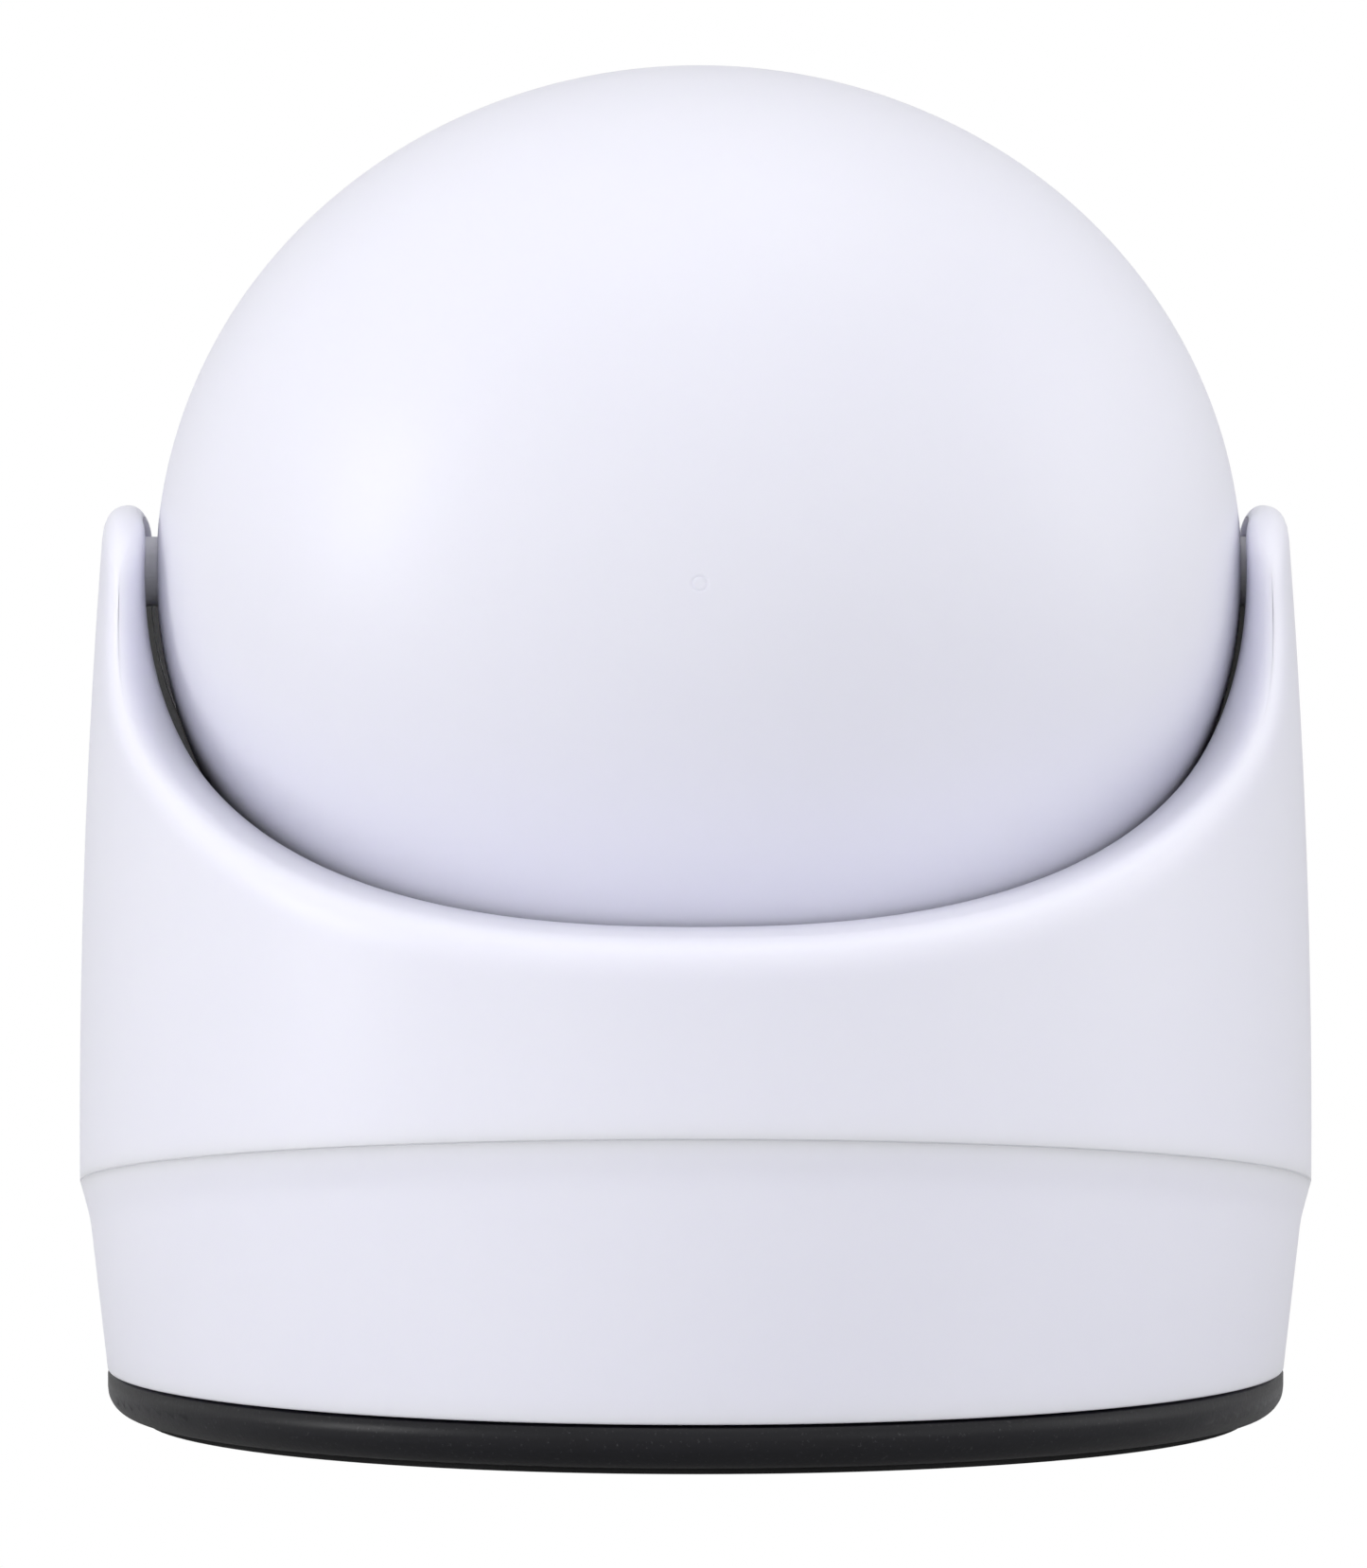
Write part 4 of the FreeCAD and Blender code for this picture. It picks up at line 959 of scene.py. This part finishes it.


# %% [markdown]
# The white casing is satin ABS with a very fine etched grain and a cool, faintly violet white. The
# pivot bosses are the same white with a coarse texture. The foot and the lining of the hollow are
# black with a grain, and grey specks painted into their colour stand in for glints. Gears are milky
# acetal, screws and motor cans are steel, and the tripod bush is brass.

# %% Opaque finishes
finishes = {
    "white_casing": solid_finish("satin_white", (0.80, 0.80, 0.885), (0.785, 0.785, 0.875), 0.40,
                                 spread=0.04, grain=5200.0, depth=0.0035 * MM, tone_scale=35.0,
                                 milky=0.7),
    "white_textured": solid_finish("textured_white", (0.80, 0.80, 0.87), (0.70, 0.70, 0.77), 0.6,
                                   grain=2400.0, depth=0.05 * MM, milky=0.7),
    # painted glint: grey specks in the black's colour stand in for glints on the grain
    "black_grain": solid_finish("grained_black", (0.003, 0.003, 0.005), (0.005, 0.005, 0.008), 0.38,
                                spread=0.08, grain=3000.0, depth=0.015 * MM, painted_glint=0.08, specular=0.3),
    "black_gloss": solid_finish("polished_black", (0.006, 0.006, 0.008), (0.009, 0.009, 0.011), 0.07,
                                spread=0.02, grain=1500.0, depth=0.0002 * MM, coat=0.6, coat_roughness=0.03),
    "black_plain": solid_finish("plain_black", (0.018, 0.018, 0.02), (0.026, 0.026, 0.028), 0.45,
                                grain=4200.0, depth=0.01 * MM),
    "rubber_pad": solid_finish("soft_rubber", (0.02, 0.02, 0.021), (0.032, 0.032, 0.033), 0.85,
                               grain=2600.0, depth=0.02 * MM, specular=0.3, dust=0.2),
    "brass_insert": solid_finish("turned_brass", (0.72, 0.5, 0.22), (0.6, 0.4, 0.17), 0.28, metal=1.0,
                                 grain=3000.0, depth=0.004 * MM),
    "steel_bright": solid_finish("bright_steel", (0.58, 0.58, 0.6), (0.48, 0.48, 0.5), 0.3, metal=1.0,
                                 grain=3400.0, depth=0.005 * MM),
    "circuit_board": solid_finish("solder_mask", (0.01, 0.13, 0.06), (0.02, 0.19, 0.09), 0.35,
                                  grain=1800.0, depth=0.006 * MM, tone_scale=700.0, coat=0.3),
    "chip_black": solid_finish("moulded_epoxy", (0.02, 0.02, 0.021), (0.032, 0.032, 0.034), 0.6,
                               grain=6000.0, depth=0.01 * MM),
    "acetal_natural": solid_finish("milky_acetal", (0.82, 0.81, 0.76), (0.76, 0.75, 0.7), 0.32,
                                   grain=2500.0, depth=0.004 * MM),
    "light_pipe": solid_finish("frosted_pipe", (0.72, 0.78, 0.84), (0.66, 0.72, 0.8), 0.25,
                               grain=4000.0, depth=0.003 * MM, coat=0.4),
    "cone_paper": solid_finish("pressed_paper", (0.04, 0.04, 0.042), (0.07, 0.068, 0.064), 0.9,
                               grain=2200.0, depth=0.04 * MM, specular=0.2),
    "grey_plastic": solid_finish("grey_plastic", (0.28, 0.28, 0.29), (0.23, 0.23, 0.24), 0.45,
                                 grain=4200.0, depth=0.008 * MM),
}
print("opaque finishes:", len(finishes))


# %% [markdown]
# Lens glass has a coating that throws back violet. The tint is put on the coat, and the body of the
# glass stays clear, so that the barrel behind it still shows. The dust cloth is a plain weave.

# %% Glass and cloth
def glass_finish(name, tint, roughness, ior, coat):
    """Clear body with a tinted coat: the coat's tint gives the coloured reflection."""
    material = solid_finish(name, tint, tuple(0.96 * part for part in tint), roughness, spread=0.005,
                            grain=900.0, depth=0.0001 * MM, coat=coat, coat_roughness=0.02)
    shader = material.node_tree.nodes["Principled BSDF"]
    shader.inputs["Transmission Weight"].default_value = 1.0
    shader.inputs["IOR"].default_value = ior
    shader.inputs["Coat Tint"].default_value = (0.7, 0.6, 1.0, 1)
    return material


def cloth_finish(name, base, other, thread):
    """Two crossed waves raise the threads of a plain weave."""
    material = solid_finish(name, base, other, 0.9, grain=3000.0, depth=0.01 * MM, specular=0.2)
    tree = material.node_tree
    place = object_place(tree)
    weave = add_node(tree, "ShaderNodeMath", operation="MAXIMUM")
    bump = add_node(tree, "ShaderNodeBump", {"Strength": 1.0, "Distance": 0.05 * MM})
    for index, way in enumerate("XZ"):
        wave = add_node(tree, "ShaderNodeTexWave", {"Scale": thread}, bands_direction=way)
        tree.links.new(place, wave.inputs["Vector"])
        tree.links.new(wave.outputs["Fac"], weave.inputs[index])
    tree.links.new(weave.outputs["Value"], bump.inputs["Height"])
    tree.links.new(bump.outputs["Normal"], tree.nodes["Principled BSDF"].inputs["Normal"])
    return material


finishes["lens_glass"] = glass_finish("coated_glass", (0.9, 0.93, 1.0), 0.02, 1.52, 1.0)
finishes["filter_glass"] = glass_finish("filter_glass", (0.6, 0.85, 0.9), 0.03, 1.5, 0.5)
finishes["lamp_clear"] = glass_finish("lamp_epoxy", (0.86, 0.82, 0.9), 0.05, 1.5, 0.2)
finishes["dust_cloth"] = cloth_finish("woven_dust_cloth", (0.02, 0.02, 0.02), (0.03, 0.03, 0.03), 900.0)


# %% [markdown]
# Now every piece gets its finish: the new pieces by the slot they were given, and the CAD nodes by
# the slot that the frame gives them.

# %% Hand out the finishes
def dress(piece, finish):
    """Put one finish on all of a piece's material slots."""
    if not piece.material_slots:
        piece.data.materials.append(finish)
    for material_slot in piece.material_slots:
        material_slot.material = finish


for name, node in nodes.items():
    dress(node, finishes[slot_of[name]])
for piece in [obj for obj in bpy.data.objects if obj.type == "MESH" and "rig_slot" in obj]:
    dress(piece, finishes[piece["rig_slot"]])


# %% [markdown]
# ## The studio
# A white product is lit with large soft sources so that its edges stay readable: a wide key from the
# left, a bank overhead, and weaker lights on the right and behind the viewer. The viewer sees the
# floor and backdrop as pure white, but as a light source they are only mid-grey. If they lit the
# object as brightly as they look, the underside of every round shape would go flat.

# %% Floor
SWEEP_START, SWEEP_RADIUS = 1.2, 0.9


def floor_sheet():
    """A flat floor whose far side sweeps up through a quarter circle into a backdrop."""
    bend = np.linspace(0, np.pi / 2, 17)
    y = np.concatenate([[-1.6, 0.0], SWEEP_START + SWEEP_RADIUS * np.sin(bend), [SWEEP_START + SWEEP_RADIUS]])
    z = np.concatenate([[0.0, 0.0], SWEEP_RADIUS - SWEEP_RADIUS * np.cos(bend), [2.4]])
    side = np.stack([0 * y, y, z], -1)
    points = np.stack([side + (-2.2, 0, 0), side + (2.2, 0, 0)])
    rows = len(y)
    r = np.arange(rows - 1)
    faces = np.stack([r, rows + r, rows + r + 1, r + 1], -1)
    mesh = bpy.data.meshes.new("studio_floor")
    mesh.from_pydata(points.reshape(-1, 3).tolist(), [], faces.tolist())
    mesh.polygons.foreach_set("use_smooth", np.ones(len(mesh.polygons), bool))
    return new_object("studio_floor", mesh)


FLOOR_ALBEDO, FLOOR_GLOW = 0.5, 0.1


def floor_finish():
    """White glow for the viewer's own rays, and a mid-grey matt sheet for all other rays."""
    material = bpy.data.materials.new("pale_floor")
    material.use_nodes = True
    tree = material.node_tree
    sheet = tree.nodes["Principled BSDF"]
    sheet.inputs["Base Color"].default_value = (FLOOR_ALBEDO, FLOOR_ALBEDO, FLOOR_ALBEDO, 1)
    sheet.inputs["Roughness"].default_value = 0.9
    sheet.inputs["Emission Color"].default_value = (1, 1, 1, 1)
    sheet.inputs["Emission Strength"].default_value = FLOOR_GLOW
    white = add_node(tree, "ShaderNodeEmission", {"Color": (1, 1, 1, 1), "Strength": 1.0})
    rays = tree.nodes.new("ShaderNodeLightPath")
    choice = tree.nodes.new("ShaderNodeMixShader")
    tree.links.new(rays.outputs["Is Camera Ray"], choice.inputs["Fac"])
    tree.links.new(sheet.outputs["BSDF"], choice.inputs[1])
    tree.links.new(white.outputs["Emission"], choice.inputs[2])
    tree.links.new(choice.outputs["Shader"], tree.nodes["Material Output"].inputs["Surface"])
    return material


floor = floor_sheet()
floor.data.materials.append(floor_finish())


# %% Lights
MIDDLE = (0, 0, 60 * MM)
AIR_STRENGTH = 0.83


def soft_light(name, place, width, height, power):
    """A rectangular area light that faces the middle of the object."""
    data = bpy.data.lights.new(name, "AREA")
    data.shape, data.size, data.size_y, data.energy = "RECTANGLE", width, height, power
    light = bpy.data.objects.new(name, data)
    bpy.context.scene.collection.objects.link(light)
    light.location = place
    x, y, z = np.array(MIDDLE) - np.array(place)
    light.rotation_euler = (math.atan2(math.hypot(x, y), -z), 0, math.atan2(y, x) - math.pi / 2)
    return light


soft_light("key_bank", (-0.80, -0.32, 0.25), 0.26, 0.48, 1.95)
soft_light("top_bank", (0.10, -0.10, 0.95), 0.8, 0.6, 1.1)
soft_light("right_bank", (0.80, -0.05, 0.30), 0.4, 0.7, 0.85)
soft_light("near_right_bank", (0.70, -0.75, 0.35), 0.5, 0.7, 0.45)
fill = soft_light("front_fill", (0.0, -1.45, 0.12), 1.2, 0.9, 4.6)
fill.visible_glossy = False   # it lifts the shadows but must not show as a highlight on the foot
world = bpy.data.worlds.new("studio_air")
world.use_nodes = True
world.node_tree.nodes["Background"].inputs["Color"].default_value = (1, 1, 1, 1)
world.node_tree.nodes["Background"].inputs["Strength"].default_value = AIR_STRENGTH
bpy.context.scene.world = world
bpy.context.scene.view_settings.view_transform = "Standard"
